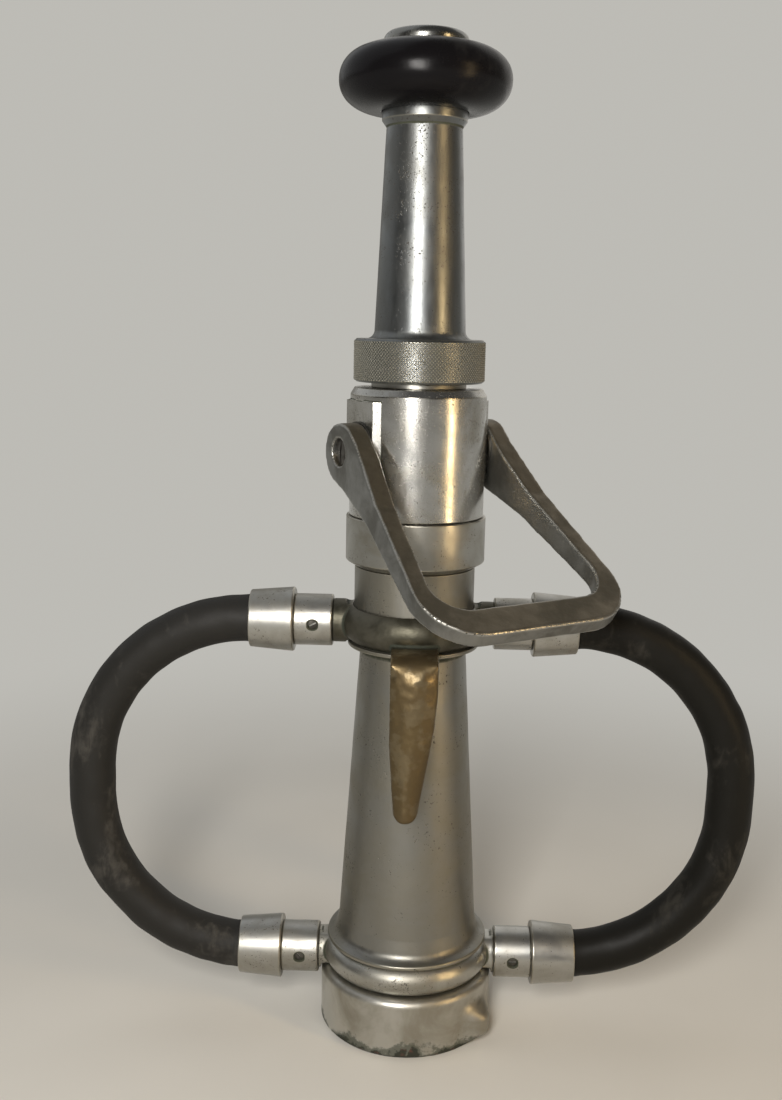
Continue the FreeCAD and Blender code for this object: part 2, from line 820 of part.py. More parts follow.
def valve_body():
    """Valve shell: turned outside, two bevelled side pads for the bail, cavity and cross bores."""
    body = new_body("valve_body")
    revolve(body, "valve_outside", [
        (0, d.valve_bottom),
        (d.valve_radius, d.valve_bottom),
        (d.valve_radius, d.valve_top - d.valve_shoulder),
        (d.valve_radius - 2.0, d.valve_top),
        (0, d.valve_top),
    ])
    sketch, feature = pad(body, "side_pads", "XY_Plane", d.pad_top - d.pad_bottom, d.pad_bottom)
    half = d.pad_width / 2
    flat = d.pad_flat / 2
    shoulder = d.pad_face - d.pad_bevel
    outline(sketch, [
        (d.pad_face, -flat), (d.pad_face, flat), (shoulder, half), (-shoulder, half),
        (-d.pad_face, flat), (-d.pad_face, -flat), (-shoulder, -half), (shoulder, -half),
    ])
    # the turned sides stand a little proud of the pads' flats, so they are faced off
    facing = new_sketch(body, "XZ_Plane", "pad_facing_sketch")
    for sign in (1, -1):
        near, far = (d.pad_face * sign, 60 * sign)
        corners = [(near, d.pad_bottom), (far, d.pad_bottom), (far, d.pad_top), (near, d.pad_top)]
        outline(facing, corners if sign > 0 else corners[::-1])
    face_cut = body.newObject("PartDesign::Pocket", "pad_facing")
    face_cut.Profile = facing
    face_cut.Length = 120.0
    face_cut.Midplane = True
    body.Tip = face_cut
    groove(body, "valve_cavity", [
        (0, d.valve_bottom - 5),
        (d.cavity_radius, d.valve_bottom - 5),
        (d.cavity_radius, d.cavity_top),
        (d.seat_radius, d.cavity_top),
        (d.seat_radius, d.pivot_height + d.seat_floor_drop),
        (d.waterway_radius, d.pivot_height + d.seat_floor_drop),
        (d.waterway_radius, d.tip_socket_floor),
        (d.tip_spigot_radius, d.tip_socket_floor),
        (d.tip_spigot_radius, d.valve_top + 5),
        (0, d.valve_top + 5),
    ])
    cross_hole(body, "stem_bores", "YZ_Plane", 0, d.pivot_height, d.bush_radius, 120.0)
    body.Placement = FreeCAD.Placement(vector(0, 0, 0),
                                       FreeCAD.Rotation(vector(0, 0, 1), d.bail_azimuth.value))
    return body


def across(body, side):
    """Put a piece that is turned about its own X on the valve's cross axis."""
    azimuth = d.bail_azimuth.value + (180 if side == "left" else 0)
    body.Placement = FreeCAD.Placement(vector(0, 0, 0), FreeCAD.Rotation(vector(0, 0, 1), azimuth))
    body.setExpression("Placement.Base.z", d.pivot_height.text)
    return body


def stem_bush(side):
    body = new_body(f"stem_bush_{side}")
    inner = d.stem_radius + d.fit
    revolve(body, f"stem_bush_{side}_turned", [
        (d.bush_start, inner), (d.seal_start, inner), (d.seal_start, d.seal_radius),
        (d.seal_end, d.seal_radius), (d.seal_end, inner), (d.bush_end, inner),
        (d.bush_end, d.bush_radius), (d.bush_start, d.bush_radius),
    ], "H_Axis")
    return across(body, side)


def cross_ring(label, side, inner, outer, start, end):
    body = new_body(label)
    revolve(body, label + "_turned", [(start, inner), (end, inner), (end, outer), (start, outer)], "H_Axis")
    return across(body, side)


def stem_seals():
    seals = [cross_ring(f"stem_seal_{side}", side, d.stem_radius + d.fit, d.seal_radius,
                        d.seal_start, d.seal_end) for side in ("left", "right")]
    group = document.addObject("Part::Compound", "stem_seals")
    group.Links = seals
    return group


def stem(side):
    """Trunnion stem: tang in the ball, collar inside the valve, end in the bail's boss."""
    body = new_body(f"stem_{side}")
    revolve(body, f"stem_{side}_turned", [
        (d.stem_start, 0), (d.stem_end - d.shank_length, 0),
        (d.stem_end - d.shank_length, d.shank_radius), (d.stem_end, d.shank_radius),
        (d.stem_end, d.stem_radius), (d.stem_collar_end, d.stem_radius),
        (d.stem_collar_end, d.stem_collar_radius), (d.stem_collar_start, d.stem_collar_radius),
        (d.stem_collar_start, d.stem_tang_radius), (d.stem_start, d.stem_tang_radius),
    ], "H_Axis")
    return across(body, side)


def pivot_screw(side):
    """Slotted screw that holds the bail's boss on its stem."""
    body = new_body(f"pivot_screw_{side}")
    revolve(body, f"pivot_screw_{side}_turned", [
        (d.stem_end - d.shank_length, 0), (d.stem_end + d.head_height, 0),
        (d.stem_end + d.head_height, d.head_radius - 0.6),
        (d.stem_end + d.head_height - 0.6, d.head_radius),
        (d.stem_end, d.head_radius), (d.stem_end, d.shank_radius),
        (d.stem_end - d.shank_length, d.shank_radius),
    ], "H_Axis")
    slot = new_sketch(body, "XZ_Plane", f"pivot_slot_{side}_sketch")
    top = d.stem_end + d.head_height
    outline(slot, [(top - 1.2, -0.8), (top + 2, -0.8), (top + 2, 0.8), (top - 1.2, 0.8)])
    slotted = body.newObject("PartDesign::Pocket", f"pivot_slot_{side}")
    slotted.Profile = slot
    slotted.Length = 40.0
    slotted.Midplane = True
    body.Tip = slotted
    return across(body, side)


def valve_ball():
    """Ball with its waterway upright while the valve is open, and two tang holes."""
    body = new_body("valve_ball")
    sketch = new_sketch(body, "XZ_Plane", "ball_profile")
    reach = d.ball_radius.value
    round_side = Part.Circle(vector(0, 0, 0), vector(0, 0, 1), reach)
    index = sketch.addGeometry(Part.ArcOfCircle(round_side, -math.pi / 2, math.pi / 2), False)
    sketch.addGeometry(Part.LineSegment(vector(0, reach, 0), vector(0, -reach, 0)), False)
    sketch.addConstraint(Sketcher.Constraint("Coincident", 0, 2, 1, 1))
    sketch.addConstraint(Sketcher.Constraint("Coincident", 1, 2, 0, 1))
    sketch.addConstraint(Sketcher.Constraint("Coincident", 0, 3, -1, 1))
    sketch.addConstraint(Sketcher.Constraint("PointOnObject", 1, 1, -2))
    rule = Sketcher.Constraint("Radius", index, d.ball_radius.value)
    sketch.setExpression(f"Constraints[{sketch.addConstraint(rule)}]", d.ball_radius.text)
    turned = body.newObject("PartDesign::Revolution", "ball_turned")
    turned.Profile = sketch
    turned.ReferenceAxis = (sketch, ["V_Axis"])
    turned.Angle = 360.0
    body.Tip = turned
    cross_hole(body, "ball_waterway", "XY_Plane", 0, 0, d.ball_bore, 120.0)
    tangs = new_sketch(body, "XZ_Plane", "tang_hole_profile")
    for sign in (1, -1):
        near, far = (d.stem_start * sign, (d.ball_radius + 3) * sign)
        corners = [(near, 0), (far, 0), (far, d.stem_tang_radius), (near, d.stem_tang_radius)]
        outline(tangs, corners if sign > 0 else corners[::-1])
    holes = body.newObject("PartDesign::Groove", "tang_holes")
    holes.Profile = tangs
    holes.ReferenceAxis = (tangs, ["H_Axis"])
    holes.Angle = 360.0
    body.Tip = holes
    return across(body, "right")


def bail_frame():
    """Placement of the bail: X along the pivot, Y down the arms, Z back towards the pipe."""
    turn = FreeCAD.Rotation(vector(0, 0, 1), d.bail_azimuth.value)
    tilt = FreeCAD.Rotation(vector(1, 0, 0), 180 + d.bail_drop.value)
    return FreeCAD.Placement(vector(0, 0, d.pivot_height.value), turn.multiply(tilt))


def bail_handle():
    """Forged U-shaped bail: the plan view and the side view, each extruded, meet in it."""
    plan = loose_sketch("bail_plan", FreeCAD.Rotation())
    inner_corner = d.corner_radius - d.arm_thickness - 1.0
    outer = d.arm_spread
    inner = d.arm_spread - d.arm_thickness
    low = d.bail_length - d.crossbar_width
    back = d.boss_radius + 1
    outer_foot = d.boss_radius - d.boss_outer_foot
    inner_foot = d.boss_radius + d.boss_inner_foot
    outline(plan, [
        (d.boss_inner, -back), (d.boss_outer, -back), (d.boss_outer, outer_foot),
        (outer, d.bail_length - d.corner_radius),
        (outer - d.corner_radius, d.bail_length, d.corner_radius * 1.02),
        (-outer + d.corner_radius, d.bail_length),
        (-outer, d.bail_length - d.corner_radius, d.corner_radius * 1.02),
        (-d.boss_outer, outer_foot), (-d.boss_outer, -back), (-d.boss_inner, -back),
        (-d.boss_inner, inner_foot),
        (-inner, low - inner_corner),
        (-inner + inner_corner, low, -(inner_corner * 1.02)),
        (inner - inner_corner, low),
        (inner, low - inner_corner, -(inner_corner * 1.02)),
        (d.boss_inner, inner_foot),
    ])
    side = loose_sketch("bail_side", SIDE_VIEW)
    half_bar = d.crossbar_height / 2
    half_arm = d.arm_height / 2
    tangent = d.boss_radius * 0.96
    outline(side, [
        (d.boss_neck, -tangent, d.boss_radius),
        (d.arm_swell_end, -half_arm - d.arm_swell),
        (d.bail_length - d.crossbar_width, -half_bar),
        (d.bail_length + 2, -half_bar),
        (d.bail_length + 2, half_bar),
        (d.bail_length - d.crossbar_width, half_bar),
        (d.arm_swell_end, half_arm + d.arm_swell),
        (d.boss_neck, tangent),
        (-d.boss_back, 0, d.boss_radius),
    ])
    flat = extrude("bail_plan_solid", plan, vector(0, 0, 1), 40)
    edge = extrude("bail_side_solid", side, vector(1, 0, 0), 90)
    blank = common("bail_blank", [flat, edge])
    bore = document.addObject("Part::Cylinder", "bail_bore")
    bore.setExpression("Radius", d.stem_radius.text)
    bore.Height = 200.0
    bore.Placement = FreeCAD.Placement(vector(-100, 0, 0), FreeCAD.Rotation(vector(0, 1, 0), 90))
    recesses = []
    for sign in (1, -1):
        recess = document.addObject("Part::Cylinder", "bail_recess")
        recess.setExpression("Radius", d.head_recess.text)
        recess.Height = 20.0
        recess.Placement = FreeCAD.Placement(vector(sign * d.stem_end.value, 0, 0),
                                             FreeCAD.Rotation(vector(0, 1, 0), 90 * sign))
        recesses.append(recess)
    tools = fuse("bail_holes", [bore] + recesses)
    whole = cut("bail_handle", blank, tools)
    whole.Placement = bail_frame()
    return whole


def washers():
    rings = [cross_ring(f"washer_{side}", side, d.stem_radius + d.fit, d.washer_radius,
                        d.washer_start, d.washer_end) for side in ("left", "right")]
    group = document.addObject("Part::Compound", "boss_washers")
    group.Links = rings
    return group


def tip_base():
    """Fixed neck screwed into the valve, with the thread that the barrel turns on."""
    bottom = d.tip_socket_floor + d.tip_gasket_thickness
    return turned_part("tip_base", [
        (d.waterway_radius, bottom),
        (d.tip_spigot_radius - 0.05, bottom),
        (d.tip_spigot_radius - 0.05, d.valve_top + 0.2),
        (d.tip_neck_radius, d.valve_top + 0.2),
        (d.tip_neck_radius, d.tip_neck_top),
        (d.tip_boss_radius, d.tip_neck_top),
        (d.tip_boss_radius, d.tip_boss_top),
        (d.stream_outer, d.tip_boss_top),
        (d.stream_outer, d.stream_bottom),
        (d.stream_bore, d.stream_bottom),
        (d.stream_bore, d.stream_bottom - 4),
    ])


def tip_gasket():
    return turned_part("tip_gasket", ring_points(
        d.waterway_radius + 0.3, d.tip_spigot_radius - 0.3, d.tip_socket_floor,
        d.tip_socket_floor + d.tip_gasket_thickness))


def stream_tube():
    return turned_part("stream_tube", ring_points(
        d.stream_bore, d.stream_outer, d.stream_bottom, d.stream_top))


def deflector():
    """Spreader head on a stem, held in the stream tube by a three-armed spider."""
    body = new_body("deflector")
    revolve(body, "spreader", [
        (0, d.spider_bottom), (d.spreader_stem * 1.6, d.spider_bottom),
        (d.spreader_stem * 1.6, d.spider_bottom + d.spider_height),
        (d.spreader_stem, d.spider_bottom + d.spider_height + 2),
        (d.spreader_stem, d.spreader_bottom - 2),
        (d.spreader_radius, d.spreader_bottom + 2), (d.spreader_radius, d.spreader_top - 1),
        (d.spreader_radius - 1, d.spreader_top), (0, d.spreader_top),
    ])
    for number in range(3):
        sketch, feature = pad(body, f"spider_arm_{number}", "XY_Plane", d.spider_height,
                              d.spider_bottom, 120 * number)
        web = d.spider_web / 2
        outline(sketch, [(0, -web), (d.stream_bore - 0.2, -web), (d.stream_bore - 0.2, web), (0, web)])
    return body


def barrel_seal():
    """O-ring that travels with the barrel along the stream tube."""
    body = new_body("barrel_seal")
    sketch = new_sketch(body, "XZ_Plane", "barrel_seal_section")
    circle(sketch, d.ring_seal_middle, d.ring_seal_height, d.ring_seal_section)
    turned = body.newObject("PartDesign::Revolution", "barrel_seal_turned")
    turned.Profile = sketch
    turned.ReferenceAxis = (sketch, ["V_Axis"])
    turned.Angle = 360.0
    body.Tip = turned
    return body


def barrel():
    """Tapered barrel with the hand ring at its foot and the bumper collar at its head."""
    return turned_part("barrel", [
        (d.tip_neck_radius + d.neck_play, d.knurl_bottom),
        (d.knurl_radius - d.knurl_chamfer, d.knurl_bottom),
        (d.knurl_radius, d.knurl_bottom + d.knurl_chamfer),
        (d.knurl_radius, d.knurl_top - d.knurl_chamfer),
        (d.knurl_radius - d.knurl_chamfer, d.knurl_top),
        (d.barrel_base_radius + d.barrel_flare, d.knurl_top),
        (d.barrel_base_radius, d.knurl_top + d.barrel_flare, -d.barrel_flare * 1.02),
        (d.barrel_top_radius, d.collar_bottom - 1.5),
        (d.collar_radius - 1.0, d.collar_bottom),
        (d.collar_radius, d.collar_bottom + 1.6),
        (d.collar_radius, d.collar_top),
        (d.end_radius, d.collar_top),
        (d.end_radius, d.end_top),
        (d.end_bore, d.end_top),
        (d.end_bore, d.guide_top),
        (d.guide_bore, d.guide_top),
        (d.guide_bore, d.shoulder_height),
        (d.tip_neck_radius + d.neck_play, d.shoulder_height),
    ])


def bumper():
    """Rubber bumper ring round the head of the barrel, recessed for the collar and the cap."""
    low = d.bumper_height - d.bumper_foot
    high = d.bumper_height + d.bumper_head
    return turned_part("bumper", [
        (d.end_radius + 0.05, d.collar_top + 0.1),
        (d.collar_radius + 0.1, d.collar_top + 0.1),
        (d.collar_radius + 0.1, low),
        (d.bumper_middle + d.bumper_reach, d.bumper_height, d.bumper_section),
        (d.collar_radius + 0.1, high, d.bumper_section),
        (d.collar_radius + 0.1, d.end_top - 0.2),
        (d.end_radius + 0.05, d.end_top - 0.2),
    ])


def end_cap():
    """Crowned cap screwed into the barrel, with the outlet orifice."""
    foot = d.end_top - 7
    return turned_part("end_cap", [
        (d.orifice_radius, foot),
        (d.end_bore - 0.05, foot),
        (d.end_bore - 0.05, d.end_top),
        (d.cap_radius, d.end_top),
        (d.cap_radius, d.end_top + 3.6),
        (d.cap_crown + 1.5, d.cap_top - 0.7, 8.0),
        (d.cap_crown - 1.0, d.cap_top),
        (d.orifice_radius + 1.5, d.cap_top),
        (d.orifice_radius, d.cap_top - 2.5),
    ])


def build():
    """Every node of the playpipe, in the order in which it would be put together."""
    nodes = [playpipe_tube(), race_balls(), hose_coupling(), race_plug(), hose_gasket()]
    nodes += [lower_ring(), upper_ring()]
    levels = (("upper", d.upper_sleeve_start, d.upper_handle_height),
              ("lower", d.lower_sleeve_start, d.lower_handle_height))
    for level, start, height in levels:
        for left in (True, False):
            side = "left" if left else "right"
            nodes.append(sleeve(f"sleeve_{level}_{side}", start, height, left))
            nodes.append(ferrule(f"ferrule_{level}_{side}", start + d.sleeve_length, height, left))
    nodes.append(set_screws())
    nodes += handle_side(True) + handle_side(False)
    nodes += [valve_base(), pipe_gasket(), seat("lower_seat", False), seat("upper_seat", True)]
    nodes += [valve_body()]
    for side in ("left", "right"):
        nodes += [stem_bush(side), stem(side), pivot_screw(side)]
    nodes += [stem_seals(), valve_ball(), bail_handle(), washers()]
    nodes += [tip_base(), tip_gasket(), stream_tube(), deflector()]
    nodes += [barrel_seal(), barrel(), bumper(), end_cap()]
    return nodes


def check(nodes):
    """Stop at any failed object before a file is written."""
    for item in document.Objects:
        if "Invalid" in item.State or "Error" in item.State:
            raise RuntimeError(f"{item.Name} did not rebuild: {item.State}")
    for node in nodes:
        if node.Shape.isNull() or not node.Shape.isValid() or not node.Shape.Solids:
            raise RuntimeError(f"{node.Label} has no valid solid")


def main():
    nodes = build()
    document.recompute()
    check(nodes)
    os.makedirs("parts", exist_ok=True)
    for node in nodes:
        node.Shape.exportStep(f"parts/{node.Label}.step")
    print(len(nodes), "nodes written")


main()
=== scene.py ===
import json
import math

import bmesh
import bpy
import numpy as np
from mathutils import Matrix, Vector, noise


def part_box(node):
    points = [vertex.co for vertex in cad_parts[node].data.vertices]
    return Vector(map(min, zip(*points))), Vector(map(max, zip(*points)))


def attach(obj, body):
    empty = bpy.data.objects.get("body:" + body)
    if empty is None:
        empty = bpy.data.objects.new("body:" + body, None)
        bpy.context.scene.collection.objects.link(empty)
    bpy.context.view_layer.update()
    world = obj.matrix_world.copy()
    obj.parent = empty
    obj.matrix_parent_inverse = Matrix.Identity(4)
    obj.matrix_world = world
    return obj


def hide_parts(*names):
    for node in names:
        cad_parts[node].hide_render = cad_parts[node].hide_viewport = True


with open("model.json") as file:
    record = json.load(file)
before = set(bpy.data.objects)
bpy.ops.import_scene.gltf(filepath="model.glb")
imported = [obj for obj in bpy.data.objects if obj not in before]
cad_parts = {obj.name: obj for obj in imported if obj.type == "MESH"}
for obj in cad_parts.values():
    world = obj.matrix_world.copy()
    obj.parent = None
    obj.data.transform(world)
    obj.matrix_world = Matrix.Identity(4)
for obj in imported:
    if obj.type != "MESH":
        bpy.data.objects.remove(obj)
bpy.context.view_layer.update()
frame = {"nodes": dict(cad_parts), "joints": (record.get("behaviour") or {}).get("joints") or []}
print("frame loaded")

mm = 0.001
bailTurn = next(joint for joint in frame["joints"] if joint["name"] == "bail_turn")
bailAxis = -Vector(bailTurn["axis"])                # from the left boss to the right one
pivot = Vector(bailTurn["pos_m"])
bailAzimuth = math.atan2(bailAxis.y, bailAxis.x)


def low(node):
    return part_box(node)[0] / mm


def high(node):
    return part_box(node)[1] / mm


# shader maths

class Level:                                        # a socket that can be added, multiplied and so on
    def __init__(self, sheet, socket):
        self.sheet = sheet
        self.socket = socket

    def __add__(self, other):
        return self.sheet.maths("ADD", self, other)

    def __radd__(self, other):
        return self.sheet.maths("ADD", other, self)

    def __sub__(self, other):
        return self.sheet.maths("SUBTRACT", self, other)

    def __rsub__(self, other):
        return self.sheet.maths("SUBTRACT", other, self)

    def __mul__(self, other):
        return self.sheet.maths("MULTIPLY", self, other)

    def __rmul__(self, other):
        return self.sheet.maths("MULTIPLY", other, self)

    def ramp(self, start, end, first=0.0, last=1.0):      # smooth step from start to end
        return self.sheet.node("ShaderNodeMapRange", {"interpolation_type": "SMOOTHSTEP"}, {
            "Value": self, "From Min": start, "From Max": end, "To Min": first, "To Max": last})


class NodeSheet:
    def __init__(self, tree):
        self.tree = tree
        tree.nodes.clear()

    def node(self, kind, settings=None, sockets=None, output=0):
        made = self.tree.nodes.new(kind)
        for key, value in (settings or {}).items():
            setattr(made, key, value)
        for key, value in (sockets or {}).items():
            if isinstance(value, Level):
                self.tree.links.new(value.socket, made.inputs[key])
            else:
                made.inputs[key].default_value = value
        return Level(self, made.outputs[output])

    def maths(self, operation, first, second=0.0):
        return self.node("ShaderNodeMath", {"operation": operation}, {0: first, 1: second})

    def place(self):
        return self.node("ShaderNodeTexCoord", output="Object")

    def stretched(self, place, scale):
        return self.node("ShaderNodeMapping", {}, {"Vector": place, "Scale": scale})

    def grain(self, place, scale, detail=3.0, rough=0.55, warp=0.0):
        return self.node("ShaderNodeTexNoise", {}, {
            "Vector": place, "Scale": scale, "Detail": detail, "Roughness": rough, "Distortion": warp})

    def mark(self, name):
        return self.node("ShaderNodeAttribute", {"attribute_name": name}, output="Fac")

    def mix(self, mask, first, second):
        return self.node("ShaderNodeMix", {"data_type": "RGBA"}, {0: mask, 6: first, 7: second}, output=2)

    def along(self, place, axis):
        return self.node("ShaderNodeSeparateXYZ", {}, {0: place}, output=axis)

    def reach(self, place):
        return self.node("ShaderNodeVectorMath", {"operation": "LENGTH"}, {0: place}, output=1)

    def vector(self, *parts):
        return self.node("ShaderNodeCombineXYZ", {}, dict(enumerate(parts)))


class Finish(NodeSheet):                            # a material with one shader and its output
    def __init__(self, name):
        self.material = bpy.data.materials.new(name)
        self.material.use_nodes = True
        super().__init__(self.material.node_tree)
        self.shader = self.tree.nodes.new("ShaderNodeBsdfPrincipled")
        output = self.tree.nodes.new("ShaderNodeOutputMaterial")
        self.tree.links.new(self.shader.outputs[0], output.inputs["Surface"])

    def feed(self, sockets):
        for name, value in sockets.items():
            socket = self.shader.inputs[name]
            if isinstance(value, Level):
                self.tree.links.new(value.socket, socket)
            else:
                socket.default_value = value

    def dirt(self, fine):                           # grime that has stayed in the inside corners
        return (self.mark("hollow") + fine * 0.4 - 0.2).ramp(0.10, 0.5)

    def bump(self, height, distance, strength):
        self.feed({"Normal": self.node("ShaderNodeBump", {}, {
            "Height": height, "Distance": distance, "Strength": strength})})


def colour(red, green, blue):
    return (red, green, blue, 1.0)


# worn plating: a dictionary per finish

platedLook = {
    "plate": colour(0.46, 0.455, 0.43), "tarnish": colour(0.23, 0.21, 0.16), "bare": colour(0.42, 0.39, 0.31),
    "grime": colour(0.045, 0.048, 0.030), "pit": colour(0.055, 0.048, 0.038),
    "rough": 0.24, "cloud": 0.16, "cloudScale": 34.0, "tarnishAmount": 0.55, "pits": 0.5, "pitScale": 900.0,
    "streak": 0.25, "bump": 0.05, "edge": 0.35, "grimeReach": 1.0, "metal": 1.0,
}
finishes = {
    "barrelPlate": {"plate": colour(0.20, 0.21, 0.212), "tarnish": colour(0.115, 0.110, 0.095), "rough": 0.31,
                    "pits": 0.45, "pitScale": 800.0, "cloud": 0.12, "bump": 0.06},
    "valvePlate": {"plate": colour(0.50, 0.495, 0.475), "rough": 0.21, "pits": 0.60, "pitScale": 1100.0,
                   "cloud": 0.10, "cloudScale": 46.0, "tarnishAmount": 0.60, "bump": 0.02},
    "pipePlate": {"rough": 0.37, "pits": 0.30, "pitScale": 700.0, "cloud": 0.16, "cloudScale": 22.0,
                  "plate": colour(0.255, 0.25, 0.228), "tarnishAmount": 0.7, "bump": 0.10},
    "basePlate": {"plate": colour(0.38, 0.375, 0.35), "rough": 0.30, "pits": 0.35, "cloud": 0.18,
                  "tarnishAmount": 0.7, "bump": 0.08},
    "ferrulePlate": {"rough": 0.30, "pits": 0.4, "cloud": 0.2, "streak": 1.0, "tarnishAmount": 0.65,
                     "bump": 0.07},
    # the knurl's grooveShade radii darken the roots between its points as painted shade and grime
    "knurlPlate": {"rough": 0.33, "pits": 0.25, "cloud": 0.12, "plate": colour(0.44, 0.43, 0.40), "edge": 0.5,
                   "bump": 0.03, "grimeReach": 0.0, "grooveShade": (33.20 * mm, 33.60 * mm)},
    "capPlate": {"plate": colour(0.27, 0.275, 0.27), "rough": 0.20, "pits": 0.35, "cloud": 0.12,
                 "tarnishAmount": 0.4, "bump": 0.03},
    "ringPlate": {"rough": 0.34, "pits": 0.55, "cloud": 0.16, "plate": colour(0.46, 0.455, 0.42),
                  "tarnishAmount": 0.7, "streak": 1.0, "bump": 0.09},
}


def plated(name):
    look = {**platedLook, **finishes[name]}
    sheet = Finish(name)
    place = sheet.place()
    along = sheet.stretched(place, (1.0, 1.0, look["streak"]))
    cloud = sheet.grain(place, look["cloudScale"], 5.0, 0.6, 0.4).ramp(0.33, 0.70)
    patch = sheet.grain(place, look["cloudScale"] * 2.6, 4.0, 0.65).ramp(0.45, 0.68)
    fine = sheet.grain(along, 420.0, 4.0, 0.6)
    specks = sheet.grain(place, look["pitScale"], 2.0, 0.7)
    threshold = 0.76 - 0.16 * look["pits"]
    speckled = (specks + patch * 0.10 + cloud * 0.05).ramp(threshold, threshold + 0.08)
    edge = sheet.mark("edge").ramp(0.15, 0.75)
    dirty = (sheet.mark("hollow") * look["grimeReach"] + fine * 0.35 - 0.17).ramp(0.12, 0.5)
    if "grooveShade" in look:                           # painted shade, with grime, darkening the roots between the knurl's points
        reach = sheet.reach(sheet.stretched(place, (1.0, 1.0, 0.0)))
        dirty = reach.ramp(*look["grooveShade"], 0.9, 0.0)
    worn = (edge * 0.8 + fine * 0.5 - 0.35).ramp(0.1, 0.55) * look["edge"]
    tint = sheet.mix(cloud * look["tarnishAmount"], look["plate"], look["tarnish"])
    tint = sheet.mix(worn, tint, look["bare"])
    tint = sheet.mix(speckled * 0.85, tint, look["pit"])
    # for the knurl this dark mix is also the painted shade in its grooves
    tint = sheet.mix(dirty, tint, look["grime"])
    rough = look["rough"] + cloud * look["cloud"] + (fine - 0.5) * 0.14
    rough = rough + speckled * 0.30 + dirty * 0.35 - worn * 0.06
    metal = look["metal"] - dirty * 0.75 - speckled * 0.35
    sheet.feed({"Base Color": tint, "Roughness": rough, "Metallic": metal})
    surface = fine * 0.35 + sheet.grain(place, 150.0, 3.0) * 0.9 - speckled * 0.8
    sheet.bump(surface, look["bump"] * mm, 0.8)
    return sheet.material


couplingLook = {
    "plate": colour(0.54, 0.53, 0.49), "tarnish": colour(0.27, 0.245, 0.19), "rough": 0.36,
    "grime": colour(0.040, 0.042, 0.028), "verdigris": colour(0.045, 0.052, 0.030),
    "chip": colour(0.020, 0.022, 0.013), "rust": colour(0.085, 0.036, 0.024),
    # lugShade: middle of a dark patch painted as shade on the lug's side turned from the light
    "lugShade": (0.0425, -0.0225, 0.0115),
}


def couplingFinish():                               # plating that has flaked along the bottom rim
    look = couplingLook
    sheet = Finish("couplingPlate")
    place = sheet.place()
    level = sheet.along(place, 2)
    cloud = sheet.grain(place, 30.0, 5.0, 0.6, 0.4).ramp(0.36, 0.66)
    fine = sheet.grain(place, 430.0, 4.0, 0.6)
    ragged = sheet.grain(place, 75.0, 5.0, 0.62)
    rim = (ragged * 0.034 - 0.0150 - level).ramp(-0.0006, 0.0012)
    green = (ragged * 0.036 - 0.0140 - level + fine * 0.003).ramp(-0.002, 0.002)
    # painted shade: a ragged dark patch on the lug's side turned away from the light
    far = sheet.node("ShaderNodeVectorMath", {"operation": "DISTANCE"}, {0: place, 1: look["lugShade"]},
                     output=1)
    lugShade = (ragged * 0.006 - far + 0.002).ramp(-0.006, 0.0015)
    dirty = (sheet.mark("hollow") + fine * 0.35 - 0.17).ramp(0.12, 0.5)
    scratch = sheet.grain(sheet.stretched(place, (0.35, 0.35, 2.2)), 160.0, 2.0, 0.5).ramp(0.68, 0.72)
    tint = sheet.mix(cloud * 0.75, look["plate"], look["tarnish"])
    tint = sheet.mix(green * 0.8, tint, look["verdigris"])
    tint = sheet.mix(rim, tint, look["chip"])
    tint = sheet.mix(rim * sheet.grain(place, 140.0).ramp(0.58, 0.66), tint, look["rust"])
    # the dark patch painted as shade beside the lug takes the grime colour
    tint = sheet.mix(lugShade * 0.8, tint, look["grime"])
    tint = sheet.mix(dirty, tint, look["grime"])
    bare = 1.0 - (1.0 - rim) * (1.0 - dirty * 0.7) * (1.0 - lugShade * 0.5) * (1.0 - green * 0.5)
    rough = look["rough"] + cloud * 0.13 + (fine - 0.5) * 0.12 + bare * 0.3 - scratch * 0.08
    sheet.feed({"Base Color": tint, "Metallic": 1.0 - bare * 0.9, "Roughness": rough})
    sheet.bump(fine * 0.4 + sheet.grain(place, 130.0) * 0.9 - rim * 0.9 - scratch * 0.25, 0.12 * mm, 0.8)
    return sheet.material


bronzeLook = {
    "skin": colour(0.070, 0.066, 0.048), "pale": colour(0.155, 0.145, 0.115),
    "grime": colour(0.030, 0.034, 0.022), "hookBrass": colour(0.145, 0.105, 0.052),
    "hookShine": colour(0.31, 0.26, 0.17), "hookStain": colour(0.12, 0.09, 0.05),
    "hookTop": 226.0 * mm, "hookFace": (-41.5 * mm, -38.5 * mm),
}


def bronzeFinish():                                 # dull cast bronze, rubbed to brass on the hook
    look = bronzeLook
    sheet = Finish("hookBronze")
    place = sheet.place()
    cloud = sheet.grain(place, 60.0, 5.0, 0.62, 0.3).ramp(0.40, 0.66)
    fine = sheet.grain(place, 380.0, 4.0, 0.62)
    lumps = sheet.grain(place, 105.0, 3.0, 0.55)
    edge = (sheet.mark("edge") * 0.9 + fine * 0.6 - 0.35).ramp(0.15, 0.7)
    dirty = sheet.dirt(fine)
    tint = sheet.mix(cloud * 0.55 + edge * 0.45, look["skin"], look["pale"])
    rough = 0.44 + cloud * 0.12 + (fine - 0.5) * 0.18 - edge * 0.08
    rubbed = (look["hookTop"] - sheet.along(place, 2) + (lumps - 0.5) * 0.008).ramp(-0.002, 0.006)
    rubbed = rubbed * sheet.along(place, 1).ramp(*look["hookFace"], 1.0, 0.0)
    shine = (lumps + fine * 0.25 - 0.12).ramp(0.47, 0.60)
    brass = sheet.mix(shine * 0.30, look["hookBrass"], look["hookShine"])
    brass = sheet.mix(cloud * 0.45, brass, look["hookStain"])
    tint = sheet.mix(rubbed, tint, brass)
    rough = rough - rubbed * (0.02 + shine * 0.12)
    tint = sheet.mix(dirty, tint, look["grime"])
    sheet.feed({"Base Color": tint, "Roughness": rough + dirty * 0.3, "Metallic": 0.92 - dirty * 0.7})
    sheet.bump(fine * 0.45 + lumps * 1.3, 0.30 * mm, 0.8)
    return sheet.material
